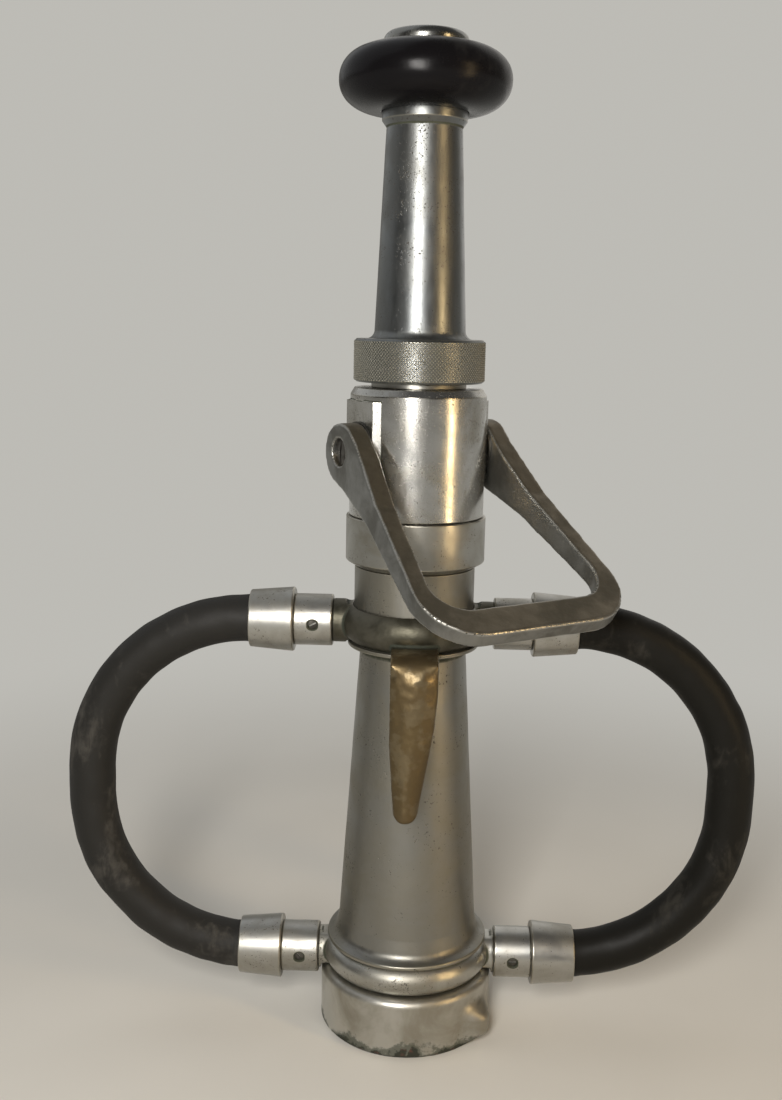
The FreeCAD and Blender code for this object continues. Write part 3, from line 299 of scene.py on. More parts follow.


# face is the flank colour darkened and browned, painted as shade on the broad faces
bailLook = {
    "flank": colour(0.25, 0.25, 0.237), "face": colour(0.20, 0.172, 0.125), "rough": 0.40,
    "dark": colour(0.070, 0.066, 0.050), "shine": colour(0.50, 0.49, 0.45),
    "grime": colour(0.028, 0.028, 0.020),
}


def bailFinish():                                   # forging with grey flanks; the broad faces take a darker, browner copy of the colour as painted shade
    look = bailLook
    sheet = Finish("forgedBail")
    place = sheet.place()
    cloud = sheet.grain(place, 42.0, 5.0, 0.62, 0.3).ramp(0.38, 0.66)
    fine = sheet.grain(place, 400.0, 4.0, 0.62)
    lumps = sheet.grain(place, 120.0, 3.0, 0.5)
    broadFaceShade = sheet.mark("broadFaceShade")
    edge = (sheet.mark("edge") * 0.9 + lumps * 0.8 - 0.45).ramp(0.15, 0.7)
    dirty = sheet.dirt(fine)
    # painted shade: faces turned across the bail's plane take the darker, browner colour
    tint = sheet.mix(broadFaceShade, look["flank"], look["face"])
    tint = sheet.mix(cloud * 0.6, tint, look["dark"])
    tint = sheet.mix(edge * 0.5, tint, look["shine"])
    tint = sheet.mix(dirty, tint, look["grime"])
    rough = look["rough"] + cloud * 0.14 + (fine - 0.5) * 0.2 - edge * 0.1 + dirty * 0.3
    sheet.feed({"Base Color": tint, "Metallic": 0.95 - dirty * 0.7, "Roughness": rough})
    sheet.bump(fine * 0.5 + lumps * 1.1, 0.22 * mm, 0.8)
    return sheet.material


rubberLooks = {
    "gripRubber": {"base": colour(0.009, 0.0085, 0.007), "scuff": colour(0.060, 0.055, 0.046), "rough": 0.46,
                   "scuffed": 0.40, "bump": 0.14, "shine": 0.12},
    "wornRubber": {"base": colour(0.017, 0.016, 0.014), "scuff": colour(0.090, 0.083, 0.071), "rough": 0.55,
                   "scuffed": 0.50, "bump": 0.22, "shine": 0.20},
    "bumperRubber": {"base": colour(0.005, 0.0045, 0.005), "scuff": colour(0.022, 0.021, 0.020),
                     "rough": 0.25, "scuffed": 0.35, "bump": 0.05, "shine": 0.12},
    "sealRubber": {"base": colour(0.016, 0.016, 0.015), "scuff": colour(0.04, 0.04, 0.038), "rough": 0.62,
                   "scuffed": 0.3, "bump": 0.05, "shine": 0.3},
}


def rubber(name):
    look = rubberLooks[name]
    sheet = Finish(name)
    place = sheet.place()
    cloud = sheet.grain(place, 24.0, 5.0, 0.62, 0.4).ramp(0.44, 0.68)
    fine = sheet.grain(place, 500.0, 4.0, 0.65)
    rubs = sheet.grain(sheet.stretched(place, (1.0, 1.0, 0.45)), 190.0, 4.0, 0.62, 0.6)
    worn = cloud * 0.30 + rubs * 0.75 + sheet.mark("edge") * 0.25 - 0.18
    worn = worn.ramp(0.28, 0.62) * look["scuffed"]
    tint = sheet.mix(worn, look["base"], look["scuff"])
    sheet.feed({"Base Color": tint, "Metallic": 0.0, "Specular IOR Level": look["shine"],
                "Roughness": look["rough"] + worn * 0.35 + (fine - 0.5) * 0.12 + cloud * 0.08})
    sheet.bump(fine * 0.4 + rubs * 0.8, look["bump"] * mm, 0.8)
    return sheet.material


innerLooks = {
    "screwSteel": {"base": colour(0.13, 0.123, 0.11), "dark": colour(0.030, 0.027, 0.022), "rough": 0.42},
    "innerBrass": {"base": colour(0.50, 0.37, 0.16), "dark": colour(0.17, 0.125, 0.055), "rough": 0.34},
    "ballSteel": {"base": colour(0.55, 0.54, 0.52), "dark": colour(0.24, 0.22, 0.19), "rough": 0.22},
}


def innerMetal(name):
    look = innerLooks[name]
    sheet = Finish(name)
    place = sheet.place()
    cloud = sheet.grain(place, 110.0, 4.0, 0.6).ramp(0.38, 0.64)
    fine = sheet.grain(place, 520.0, 3.0, 0.6)
    dirty = sheet.dirt(fine)
    tint = sheet.mix(cloud * 0.7 + dirty * 0.3, look["base"], look["dark"])
    sheet.feed({"Base Color": tint, "Metallic": 1.0 - dirty * 0.5,
                "Roughness": look["rough"] + cloud * 0.18 + (fine - 0.5) * 0.15})
    sheet.bump(fine, 0.04 * mm, 0.7)
    return sheet.material


materials = {name: plated(name) for name in finishes}
materials.update({name: rubber(name) for name in rubberLooks})
materials.update({name: innerMetal(name) for name in innerLooks})
materials["couplingPlate"] = couplingFinish()
materials["hookBronze"] = bronzeFinish()
materials["forgedBail"] = bailFinish()
print("finishes made:", len(materials))


# mesh helpers, working in millimetres

def rounded(corners, arcSteps):                     # (r, z, round, step) corners of a closed section
    places = [np.array(corner[:2], float) for corner in corners]
    points = []
    leads = []
    for number, here in enumerate(places):
        radius = corners[number][2] if len(corners[number]) > 2 else 0.0
        back = places[number - 1] - here
        ahead = places[(number + 1) % len(places)] - here
        backLength, aheadLength = np.linalg.norm(back), np.linalg.norm(ahead)
        back, ahead = back / backLength, ahead / aheadLength
        half = math.acos(max(-1.0, min(1.0, float(back @ ahead)))) / 2
        if radius <= 0 or half > 1.55:
            leads.append([here])
            continue
        reach = min(radius / math.tan(half), 0.48 * backLength, 0.48 * aheadLength)
        radius = reach * math.tan(half)
        middle = here + (back + ahead) / np.linalg.norm(back + ahead) * radius / math.sin(half)
        first, last = here + back * reach - middle, here + ahead * reach - middle
        sweep = math.pi - 2 * half
        steps = max(2, int(arcSteps * sweep / 1.2) + int(radius))
        arc = []
        for step in range(steps + 1):
            share = step / steps
            arc.append(middle + (first * math.sin((1 - share) * sweep) + last * math.sin(share * sweep))
                       / math.sin(sweep))
        leads.append(arc)
    for number, arc in enumerate(leads):
        points += arc
        step = corners[number][3] if len(corners[number]) > 3 else 4.0
        start, end = arc[-1], leads[(number + 1) % len(leads)][0]
        length = np.linalg.norm(end - start)
        if length < 1.0:
            continue
        marks = list(np.linspace(0, 1, max(2, int(length / step) + 1))[1:-1])
        marks += [0.3 / length, 1 - 0.3 / length]       # keeps the shading flat beside each round
        points += [start + (end - start) * mark for mark in sorted(marks)]
    return np.array(points)


def angleSteps(turns, dense=()):                    # even angles, denser round each (middle, reach, count)
    angles = list(np.linspace(0, 2 * math.pi, turns, endpoint=False))
    for middle, reach, count in dense:
        angles = [a for a in angles if abs(turnFrom(a, middle)) > reach]
        angles += [(middle + reach * share) % (2 * math.pi) for share in np.linspace(-1, 1, count)]
    return np.array(sorted(angles))


def wrappedFaces(rows, columns):                    # quads over a grid of points that closes both ways
    i, j = np.meshgrid(np.arange(rows), np.arange(columns), indexing="ij")
    nextI, nextJ = (i + 1) % rows, (j + 1) % columns
    here, there = i * columns, nextI * columns
    return np.stack([here + j, there + j, there + nextJ, here + nextJ], -1).reshape(-1, 4)


def meshFrom(name, places, faces):                  # places in metres; the faces are made to point outwards
    mesh = bpy.data.meshes.new(name)
    mesh.from_pydata(places.tolist(), [], faces.tolist())
    shell = bmesh.new()
    shell.from_mesh(mesh)
    bmesh.ops.remove_doubles(shell, verts=shell.verts, dist=1e-7)
    bmesh.ops.recalc_face_normals(shell, faces=shell.faces)
    if shell.calc_volume(signed=True) < 0:
        bmesh.ops.reverse_faces(shell, faces=shell.faces)
    shell.to_mesh(mesh)
    shell.free()
    return mesh


def turned(name, corners, shape=None, angles=None, placement=None, arcSteps=4):
    section = rounded(corners, arcSteps)            # a closed section turned about Z, then placed
    angles = angleSteps(192) if angles is None else angles
    r = np.repeat(section[:, 0][:, None], len(angles), 1)
    z = np.repeat(section[:, 1][:, None], len(angles), 1)
    a = np.repeat(angles[None, :], len(section), 0)
    if shape is not None:
        r = shape(r, z, a)
    places = np.stack([r * np.cos(a), r * np.sin(a), z], -1).reshape(-1, 3) * mm
    if placement is not None:
        places = places @ np.array(placement.to_3x3()).T + np.array(placement.translation)
    return meshFrom(name, places, wrappedFaces(*r.shape))


def waves(x, y, z, scale, seed=0.0):                # smooth noise at many points, about -1 to 1
    flat = np.stack([x, y, z], -1).reshape(-1, 3) / scale + seed
    values = np.array([noise.noise(Vector(point)) for point in flat])
    return values.reshape(np.shape(x))


def dents(r, z, a, scale):                          # the same noise over a turned skin
    return waves(r * np.cos(a), r * np.sin(a), z, scale)


def smoothStep(value, start, end):
    share = np.clip((value - start) / (end - start), 0, 1)
    return share * share * (3 - 2 * share)


def turnFrom(angle, middle):                        # signed angle from the middle, -pi to pi
    return (angle - middle + math.pi) % (2 * math.pi) - math.pi


def markWear(mesh):                                 # "edge" on rounded-over edges, "hollow" in inside corners
    count = len(mesh.vertices)
    places, normals = np.empty(count * 3), np.empty(count * 3)
    mesh.vertices.foreach_get("co", places)
    mesh.vertices.foreach_get("normal", normals)
    places, normals = places.reshape(-1, 3), normals.reshape(-1, 3)
    ends = np.empty(len(mesh.edges) * 2, np.int32)
    mesh.edges.foreach_get("vertices", ends)
    first, last = ends.reshape(-1, 2).T
    along = places[last] - places[first]
    length = np.maximum((along ** 2).sum(1), 1e-14)
    bends = np.zeros(count), np.zeros(count)
    for here, sign in ((first, -1), (last, 1)):
        bend = sign * 2 * (along * normals[here]).sum(1) / length * mm
        np.maximum.at(bends[0], here, bend)
        np.maximum.at(bends[1], here, -bend)
    near = np.bincount(first, minlength=count) + np.bincount(last, minlength=count)
    for name, bend in zip(("edge", "hollow"), bends):
        value = np.clip((bend - 0.10) / 0.7, 0, 1)
        for _ in range(3):
            around = (np.bincount(first, value[last], count) + np.bincount(last, value[first], count)) / near
            value = np.maximum(value * 0.92, value * 0.4 + around * 0.6)
        layer = mesh.attributes.new(name, "FLOAT", "POINT")
        layer.data.foreach_set("value", value.astype(np.float32))


def settle(mesh, name, body, nodes, material, crisp=None):
    piece = bpy.data.objects.new(name, mesh)        # crisp: edges bent by more degrees stay sharp
    bpy.context.scene.collection.objects.link(piece)
    mesh.materials.clear()
    mesh.materials.append(materials[material])
    mesh.shade_smooth()
    if crisp is not None:
        mesh.set_sharp_from_angle(angle=math.radians(crisp))
    markWear(mesh)
    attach(piece, body)
    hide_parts(*nodes)


def evaluated(piece):                               # a piece's modifiers turned into a plain mesh
    graph = bpy.context.evaluated_depsgraph_get()
    mesh = bpy.data.meshes.new_from_object(piece.evaluated_get(graph), depsgraph=graph)
    piece.modifiers.clear()
    bpy.data.objects.remove(piece)
    return mesh


# the playpipe casting

pipe = {"bore": 31.7, "tail": 38.0, "neckBore": 24.0, "neck": 31.6, "spigot": 29.0, "foot": 37.4,
        "head": 28.1, "lip": 34.8, "lipFoot": 215.1, "lipTop": 217.0, "flangeFoot": 48.7, "sweep": 7.0,
        "dents": 0.10}
race = {"bottom": 26.2, "low": 27.6, "high": 30.0, "top": 31.4, "inner": 37.0, "outer": 39.1, "round": 0.8}


def castingShape(r, z, a):                          # shallow dents left by years of handling
    rough = dents(r, z, a, 13.0) * pipe["dents"]
    return r + rough * (r > 27) * smoothStep(z, 58, 70) * (1 - smoothStep(z, 205, 212))


def makePipe():
    bottom, top = low("playpipe_tube").z, high("playpipe_tube").z
    flange = high("playpipe_tube").x
    rim = low("valve_base").z - 0.3
    corners = [
        (pipe["bore"], bottom, 0.3), (pipe["tail"], bottom, 0.4), (pipe["tail"], race["bottom"]),
        (race["inner"], race["low"], race["round"]), (race["inner"], race["high"], race["round"]),
        (pipe["tail"], race["top"]), (pipe["tail"], pipe["flangeFoot"], 0.3),
        (flange, pipe["flangeFoot"], 0.5), (flange, 50.6, 0.9), (38.9, 52.8, pipe["sweep"]),
        (pipe["foot"], 62.0, 12.0, 3.0),
        (pipe["head"], 212.9, 2.4), (pipe["lip"], pipe["lipFoot"], 0.5), (pipe["lip"], pipe["lipTop"], 0.4),
        (pipe["neck"], pipe["lipTop"], 0.25, 3.0), (pipe["neck"], rim, 0.4), (pipe["spigot"], rim, 0.1),
        (pipe["spigot"], top, 0.4), (pipe["neckBore"], top, 0.4), (pipe["neckBore"], 240.0, 8.0),
        (pipe["bore"], 60.0, 8.0)]
    mesh = turned("pipeCasting", corners, castingShape)
    settle(mesh, "pipeCasting", "playpipe", ["playpipe_tube"], "pipePlate")


# the hose coupling

coupling = {"radius": 47.0, "skin": 41.0, "root": 38.95, "crest": 1.7, "pitch": 3.39, "threadTop": 19.6,
            "seat": 39.6, "bore": 38.08, "round": 7.0, "lugAngles": (-36.0, 144.0), "lugRise": 8.0,
            "lugHalf": 13.5, "lugMiddle": 12.4, "lugTall": 13.0, "chips": 0.5}


def couplingShape(r, z, a):                         # lugs outside, a helical thread inside, a chipped rim
    outside = r > coupling["skin"]
    for angle in coupling["lugAngles"]:
        across = np.abs(turnFrom(a, math.radians(angle)) * coupling["radius"]) / coupling["lugHalf"]
        across = np.minimum(across, 1)
        up = np.abs(z - coupling["lugMiddle"]) / coupling["lugTall"]
        rise = (0.5 + 0.5 * np.cos(math.pi * across)) * (1 - smoothStep(up, 0.25, 1.0))
        r = r + outside * rise * coupling["lugRise"]
    turn = (z / coupling["pitch"] - a / (2 * math.pi)) % 1.0
    ridge = np.clip(np.abs(turn * 2 - 1) * 1.5 - 0.25, 0, 1)
    threaded = r < coupling["seat"] - 0.3
    threaded = threaded * smoothStep(z, 0.8, 2.6) * (1 - smoothStep(z, 17.8, coupling["threadTop"]))
    r = r - threaded * ridge * coupling["crest"]
    chips = np.clip(dents(r, z, a, 3.2) - 0.05, 0, 1) * coupling["chips"]
    return r - outside * chips * (1 - smoothStep(z, 0.5, 3.0))


def makeCoupling():
    radius, bore, top = coupling["radius"], coupling["bore"], high("coupling").z
    seatFoot, seatTop = 20.0, 24.2
    corners = [
        (coupling["root"], 0.0, 0.4), (radius - 1.5, 0.0, 0.5), (radius, 1.6, 0.7, 1.0),
        (radius, top, coupling["round"]), (bore, top, 0.3), (bore, race["top"]),
        (race["outer"], race["high"], race["round"]), (race["outer"], race["low"], race["round"]),
        (bore, race["bottom"]), (bore, seatTop, 0.1), (coupling["seat"], seatTop, 0.1),
        (coupling["seat"], seatFoot, 0.1), (coupling["root"], seatFoot, 0.1, 0.36)]
    dense = [(math.radians(angle) % (2 * math.pi), 0.32, 90) for angle in coupling["lugAngles"]]
    mesh = turned("hoseCoupling", corners, couplingShape, angleSteps(190, dense), arcSteps=10)
    settle(mesh, "hoseCoupling", "hose_coupling", ["coupling"], "couplingPlate")


# cast rings, hook and bail: the fixed shapes recast with soft edges

def recast(name, node, voxel, passes, reshape=None):
    shell = bmesh.new()
    shell.from_mesh(frame["nodes"][node].data)
    bmesh.ops.remove_doubles(shell, verts=shell.verts, dist=2e-6)
    mesh = bpy.data.meshes.new(name + "Blank")
    shell.to_mesh(mesh)
    shell.free()
    blank = bpy.data.objects.new(name + "Blank", mesh)
    bpy.context.scene.collection.objects.link(blank)
    remesh = blank.modifiers.new("cast", "REMESH")
    remesh.mode = "VOXEL"
    remesh.voxel_size = voxel * mm
    soften = blank.modifiers.new("soften", "SMOOTH")
    soften.factor = 0.5
    soften.iterations = passes
    mesh = evaluated(blank)
    if reshape is not None:
        places = np.empty(len(mesh.vertices) * 3)
        mesh.vertices.foreach_get("co", places)
        places = places.reshape(-1, 3) / mm
        mesh.vertices.foreach_set("co", (reshape(places) * mm).ravel())
        mesh.update()
    return mesh


hook = {"front": 60.5, "back": 51.0, "crown": 4.4, "top": 220.0, "root": -44.0, "hammered": 0.34,
        "middle": 1.1, "lean": 3.1, "tipHalf": 6.2, "widening": 5.7}


def hookShape(places):                              # crowns the hook's front face and dimples it
    x, y, z = places.T
    middle = hook["middle"] - hook["lean"] * (1 - smoothStep(z, 140, 204))
    half = hook["tipHalf"] + hook["widening"] * smoothStep(z, 138, 204)
    across = np.clip((x - middle) / half, -1.2, 1.2)
    depth = smoothStep(-y, hook["back"] - 2, hook["front"])
    inside = (1 - smoothStep(z, hook["top"] - 8, hook["top"])) * (y < hook["root"])
    y = y + inside * depth * hook["crown"] * across ** 2
    rough = waves(x, y, z, 4.2) * hook["hammered"] * inside + waves(x, y, z, 9.0, 3.0) * 0.10
    return np.stack([x + rough * 0.3, y + rough, z + rough * 0.2], -1)


def lumpy(amount, scale):                           # gentle lumps as a forging hammer leaves them
    def reshape(places):
        x, y, z = places.T
        shift = np.stack([waves(x, y, z, scale, seed) for seed in (0.0, 17.3, 41.9)], -1)
        return places + shift * amount
    return reshape


bail = {"voxel": 0.62, "passes": 20, "lumps": 0.16, "drop": 33.0}


def makeBail():
    mesh = recast("bailForging", "bail_handle", bail["voxel"], bail["passes"], lumpy(bail["lumps"], 7.0))
    drop = math.radians(bail["drop"])
    forward = Vector((math.sin(bailAzimuth), -math.cos(bailAzimuth), 0))
    along = forward * math.cos(drop) - Vector((0, 0, math.sin(drop)))
    # finds the faces turned across the bail's plane, which the finish paints darker and browner as shade
    flat = np.array(bailAxis.cross(along))
    normals = np.empty(len(mesh.vertices) * 3)
    mesh.vertices.foreach_get("normal", normals)
    facing = smoothStep(np.abs(normals.reshape(-1, 3) @ flat), 0.55, 0.9)
    layer = mesh.attributes.new("broadFaceShade", "FLOAT", "POINT")
    layer.data.foreach_set("value", facing.astype(np.float32))
    settle(mesh, "bailForging", "bail", ["bail_handle"], "forgedBail")


def makeRings():
    mesh = recast("upperRingHook", "upper_ring", 0.60, 9, hookShape)
    settle(mesh, "upperRingHook", "handle_frame", ["upper_ring"], "hookBronze")
    mesh = recast("lowerRing", "lower_ring", 0.60, 12)
    settle(mesh, "lowerRing", "handle_frame", ["lower_ring"], "ringPlate")


# sleeves, ferrules and grips of the D handles

sleeve = {"round": 0.9, "radius": 13.7, "hole": 2.6, "holeReach": 3.4, "holeDepth": 2.4, "bore": 9.0}
ferrule = {"round": 1.0, "bore": 8.0, "cup": 13.1, "cupDepth": 6.0, "taper": 2.0}
grip = {"bend": 87.0, "radius": 12.7, "bore": 8.0, "rings": 2.2, "around": 56, "wear": 0.34, "wave": 0.45}


def outwardFrame(x, z, side):                       # local Z runs outwards along X, local X towards the front
    out, front = Vector((side, 0, 0)), Vector((0, -1, 0))
    turn = Matrix((front, out.cross(front), out)).transposed()
    return Matrix.Translation(Vector((x, 0, z)) * mm) @ turn.to_4x4()


def span(node):                                     # length, radius, inner end and height of a piece along X
    first, last = low(node), high(node)
    length, radius = last.x - first.x, (last.z - first.z) / 2
    return length, radius, min(abs(first.x), abs(last.x)), (first.z + last.z) / 2


def sleeveShape(length):                            # countersinks the set screw's hole
    def shape(r, z, a):
        reach = np.hypot(turnFrom(a, 0.0) * sleeve["radius"], z - length / 2)
        hole = 1 - smoothStep(reach, sleeve["hole"] - 0.15, sleeve["hole"] + 0.2)
        rim = np.exp(-((reach - sleeve["hole"] - 0.35) / 0.35) ** 2) * 0.10
        return r - (r > 12) * (hole * sleeve["holeDepth"] + rim)
    return shape


def makeHandles():
    for side, sign in (("left", -1), ("right", 1)):
        for level in ("upper", "lower"):
            name = f"sleeve_{level}_{side}"
            length, radius, start, height = span(name)
            before, after = length / 2 - sleeve["holeReach"], length / 2 + sleeve["holeReach"]
            corners = [(sleeve["bore"], 0, 0.2), (radius, 0, sleeve["round"]), (radius, before, 0, 0.28),
                       (radius, after), (radius, length, sleeve["round"]), (sleeve["bore"], length, 0.2)]
            angles = angleSteps(128, [(0.0, 0.26, 44)])
            mesh = turned(f"sleeve{level.title()}{side.title()}", corners, sleeveShape(length), angles,
                          outwardFrame(sign * start, height, sign), arcSteps=6)
            settle(mesh, mesh.name, "handle_frame", [name], "ferrulePlate")
            name = f"ferrule_{level}_{side}"
            length, radius, start, height = span(name)
            cupFloor = length - ferrule["cupDepth"]
            corners = [(ferrule["bore"], 0, 0.2), (radius, 0, ferrule["round"]),
                       (radius - ferrule["taper"], length, ferrule["round"] * 0.7),
                       (ferrule["cup"], length, 0.3), (ferrule["cup"], cupFloor, 0.1),
                       (ferrule["bore"], cupFloor, 0.1)]
            mesh = turned(f"ferrule{level.title()}{side.title()}", corners, None, angleSteps(144),
                          outwardFrame(sign * start, height, sign), arcSteps=6)
            settle(mesh, mesh.name, "handle_frame", [name], "ferrulePlate")


def gripPath(side):                                 # centre line and outward direction, from top to bottom
    radius, bend = grip["radius"], grip["bend"]
    first, last = low(f"grip_{side}"), high(f"grip_{side}")
    top, bottom = last.z - radius, first.z + radius
    start = min(abs(first.x), abs(last.x))
    reach = max(abs(first.x), abs(last.x)) - radius
    box = low(f"ferrule_lower_{side}"), high(f"ferrule_lower_{side}")
    end = max(abs(box[0].x), abs(box[1].x)) - ferrule["cupDepth"]
    turns = np.linspace(0, math.pi / 2, int(bend * math.pi / 2 / grip["rings"]))
    x = [np.linspace(start, reach - bend, 4)[:-1], reach - bend + bend * np.sin(turns)]
    z = [np.full(3, top), top - bend + bend * np.cos(turns)]
    tilt = [np.full(3, math.pi / 2), math.pi / 2 - turns]
    straight = np.linspace(top - bend, bottom + bend, 8)[1:-1]
    x += [np.full(6, reach), reach - bend + bend * np.cos(turns), np.linspace(reach - bend, end, 4)[1:]]
    z += [straight, bottom + bend - bend * np.sin(turns), np.full(3, bottom)]
    tilt += [np.zeros(6), -turns, np.full(3, -math.pi / 2)]
    return np.concatenate(x), np.concatenate(z), np.concatenate(tilt)


def hoops(path, sign, radius):                      # rings of points round the grip's centre line
    x, z, tilt = (part[:, None] for part in path)
    a = np.linspace(0, 2 * math.pi, grip["around"], endpoint=False)[None, :]
    return np.stack([sign * (x + radius * np.cos(a) * np.cos(tilt)), -radius * np.sin(a),
                     z + radius * np.cos(a) * np.sin(tilt)], -1)


def makeGrips():                                    # rubber hose, more worn low on the left
    for side, sign in (("left", -1), ("right", 1)):
        path = gripPath(side)
        x, z = path[:2]
        a = np.linspace(0, 2 * math.pi, grip["around"], endpoint=False)[None, :]
        spot = np.cumsum(np.hypot(np.diff(x, prepend=x[0]), np.diff(z, prepend=z[0])))
        seed = 5.0 if side == "left" else 23.0
        wavy = waves(spot, np.full_like(spot, seed), spot * 0, 14.0) * grip["wave"]
        worn = (1 - smoothStep(z, 60, 175)) if side == "left" else smoothStep(z, 60, 175) * 0.3
        outer = np.clip(np.cos(a), 0, 1) ** 2
        seated = (smoothStep(spot, 6, 10) * (1 - smoothStep(spot, spot[-1] - 10, spot[-1] - 6)))[:, None]
        wide = grip["radius"] + np.zeros((len(x), grip["around"]))
        wear = waves(*np.moveaxis(hoops(path, sign, wide), -1, 0), 10.0, seed) * grip["wear"]
        wide = wide + seated * (wear - 0.3 + (wavy * worn)[:, None] * outer * 2.0)
        bore = np.full_like(wide, grip["bore"])
        grid = np.concatenate([hoops(path, sign, wide), hoops(path, sign, bore)[::-1]], 0)
        mesh = meshFrom(f"grip{side.title()}", grid.reshape(-1, 3) * mm, wrappedFaces(*grid.shape[:2]))
        finish = "wornRubber" if side == "left" else "gripRubber"
        settle(mesh, mesh.name, "handle_frame", [f"grip_{side}"], finish)


# the ball shutoff's shell

valve = {"foot": 31.3, "footChamfer": 3.0, "shoulder": 2.0, "shoulderDrop": 3.4, "radius": 35.0, "skin": 34.5,
         "padFace": 34.8, "padFlat": 13.1, "padHalf": 16.6, "padBevel": 4.5, "padEnd": 16.27,
         "padBottom": 302.5, "padTop": 344.0, "padBlend": 0.3, "dents": 0.05,
         "waterway": 18.2, "pocket": 23.0, "chamber": 28.5, "skirt": 29.05}


def valveShape(r, z, a):                            # bevelled pads under the bail's bosses
    blend = valve["padBlend"]
    b = np.abs(turnFrom(a * 2, bailAzimuth * 2) / 2)    # angle from the nearer pad's middle
    slope = valve["padBevel"] / (valve["padHalf"] - valve["padFlat"])
    flat = valve["padFace"] / np.cos(b)
    bevel = (valve["padFace"] + slope * valve["padFlat"]) / (np.cos(b) + slope * np.sin(b))
    pad = np.minimum(flat, bevel)
    beside = np.where(b < 0.5, np.maximum(pad, valve["radius"]), valve["radius"])
    wall = np.where(b < 0.2, pad, beside)
    up = smoothStep(z, valve["padBottom"] - blend, valve["padBottom"] + blend)
    up = up * (1 - smoothStep(z, valve["padTop"] - blend, valve["padTop"] + blend))
    rough = dents(r, z, a, 11.0) * valve["dents"]
    return r + (r > valve["skin"]) * ((wall - valve["radius"]) * up + rough)


def makeValve():
    bottom, top = low("valve_body").z, high("valve_body").z
    outer, waterway, pocket, chamber = (valve[key] for key in ("radius", "waterway", "pocket", "chamber"))
    corners = [
        (chamber, bottom, 0.3), (outer, bottom, 0.7), (outer, valve["padBottom"] - 0.8, 0, 0.25),
        (outer, valve["padBottom"] + 0.8, 0, 2.5), (outer, valve["padTop"] - 0.8, 0, 0.25),
        (outer, valve["padTop"] + 0.8), (outer, top - valve["shoulderDrop"], 1.2),
        (outer - valve["shoulder"], top, 0.5), (22.0, top, 0.3), (22.0, 343.0, 0.1), (waterway, 343.0, 0.1),
        (waterway, 340.0, 0.1), (pocket, 340.0, 0.1), (pocket, 334.0, 0.1), (chamber, 334.0, 0.8)]
    edge, foot = math.atan(valve["padFlat"] / valve["padFace"]), math.asin(valve["padEnd"] / valve["radius"])
    dense = [((bailAzimuth + half * math.pi + sign * turn) % (2 * math.pi), 0.025, 12)
             for half in (0, 1) for sign in (-1, 1) for turn in (edge, foot)]
    mesh = turned("valveShell", corners, valveShape, angleSteps(240, dense), arcSteps=6)
    settle(mesh, "valveShell", "playpipe", ["valve_body"], "valvePlate", crisp=50)
    bottom = low("valve_base").z
    radius, rim = high("valve_base").x, low("valve_body").z - 0.2
    spigot = chamber - 0.05
    corners = [
        (valve["skirt"], bottom, 0.2), (valve["foot"], bottom, 0.3),
        (radius, bottom + valve["footChamfer"], 0.9), (radius, rim, 0.8), (spigot, rim, 0.2),
        (spigot, 303.0, 0.2), (pocket, 303.0, 0.1), (pocket, 297.0, 0.1), (waterway, 297.0, 0.1),
        (waterway, 291.0, 3.0), (24.0, 281.6, 0.2), (valve["skirt"], 281.6, 0.1)]
    mesh = turned("valveFoot", corners, None, angleSteps(224), arcSteps=6)
    settle(mesh, "valveFoot", "playpipe", ["valve_base"], "basePlate")


# the adjustable tip

tip = {"neck": 24.4, "neckFoot": 350.2, "neckTop": 371.5, "pitch": 3.62, "thread": 0.9, "bore": 24.5,
       "knurl": 33.7, "knurlRise": 0.42, "knurlChamfer": 1.3, "knurlTall": 21.7, "flare": 4.2, "foot": 23.2,
       "head": 18.9, "collar": 21.2, "collarTall": 9.2, "end": 17.0, "dents": 0.05}


def neckShape(r, z, a):                             # the thread that the barrel climbs
    turn = (z / tip["pitch"] - a / (2 * math.pi)) % 1.0
    groove = np.clip(1.25 - np.abs(turn * 2 - 1) * 2.5, 0, 1)
    return r - (np.abs(r - tip["neck"]) < 0.1) * groove * tip["thread"] * smoothStep(z, 352.4, 353.4)


def barrelShape(r, z, a):
    rough = dents(r, z, a, 8.0) * tip["dents"]
    return r + (z > 380) * (z < 477) * (r > tip["end"] + 0.5) * rough


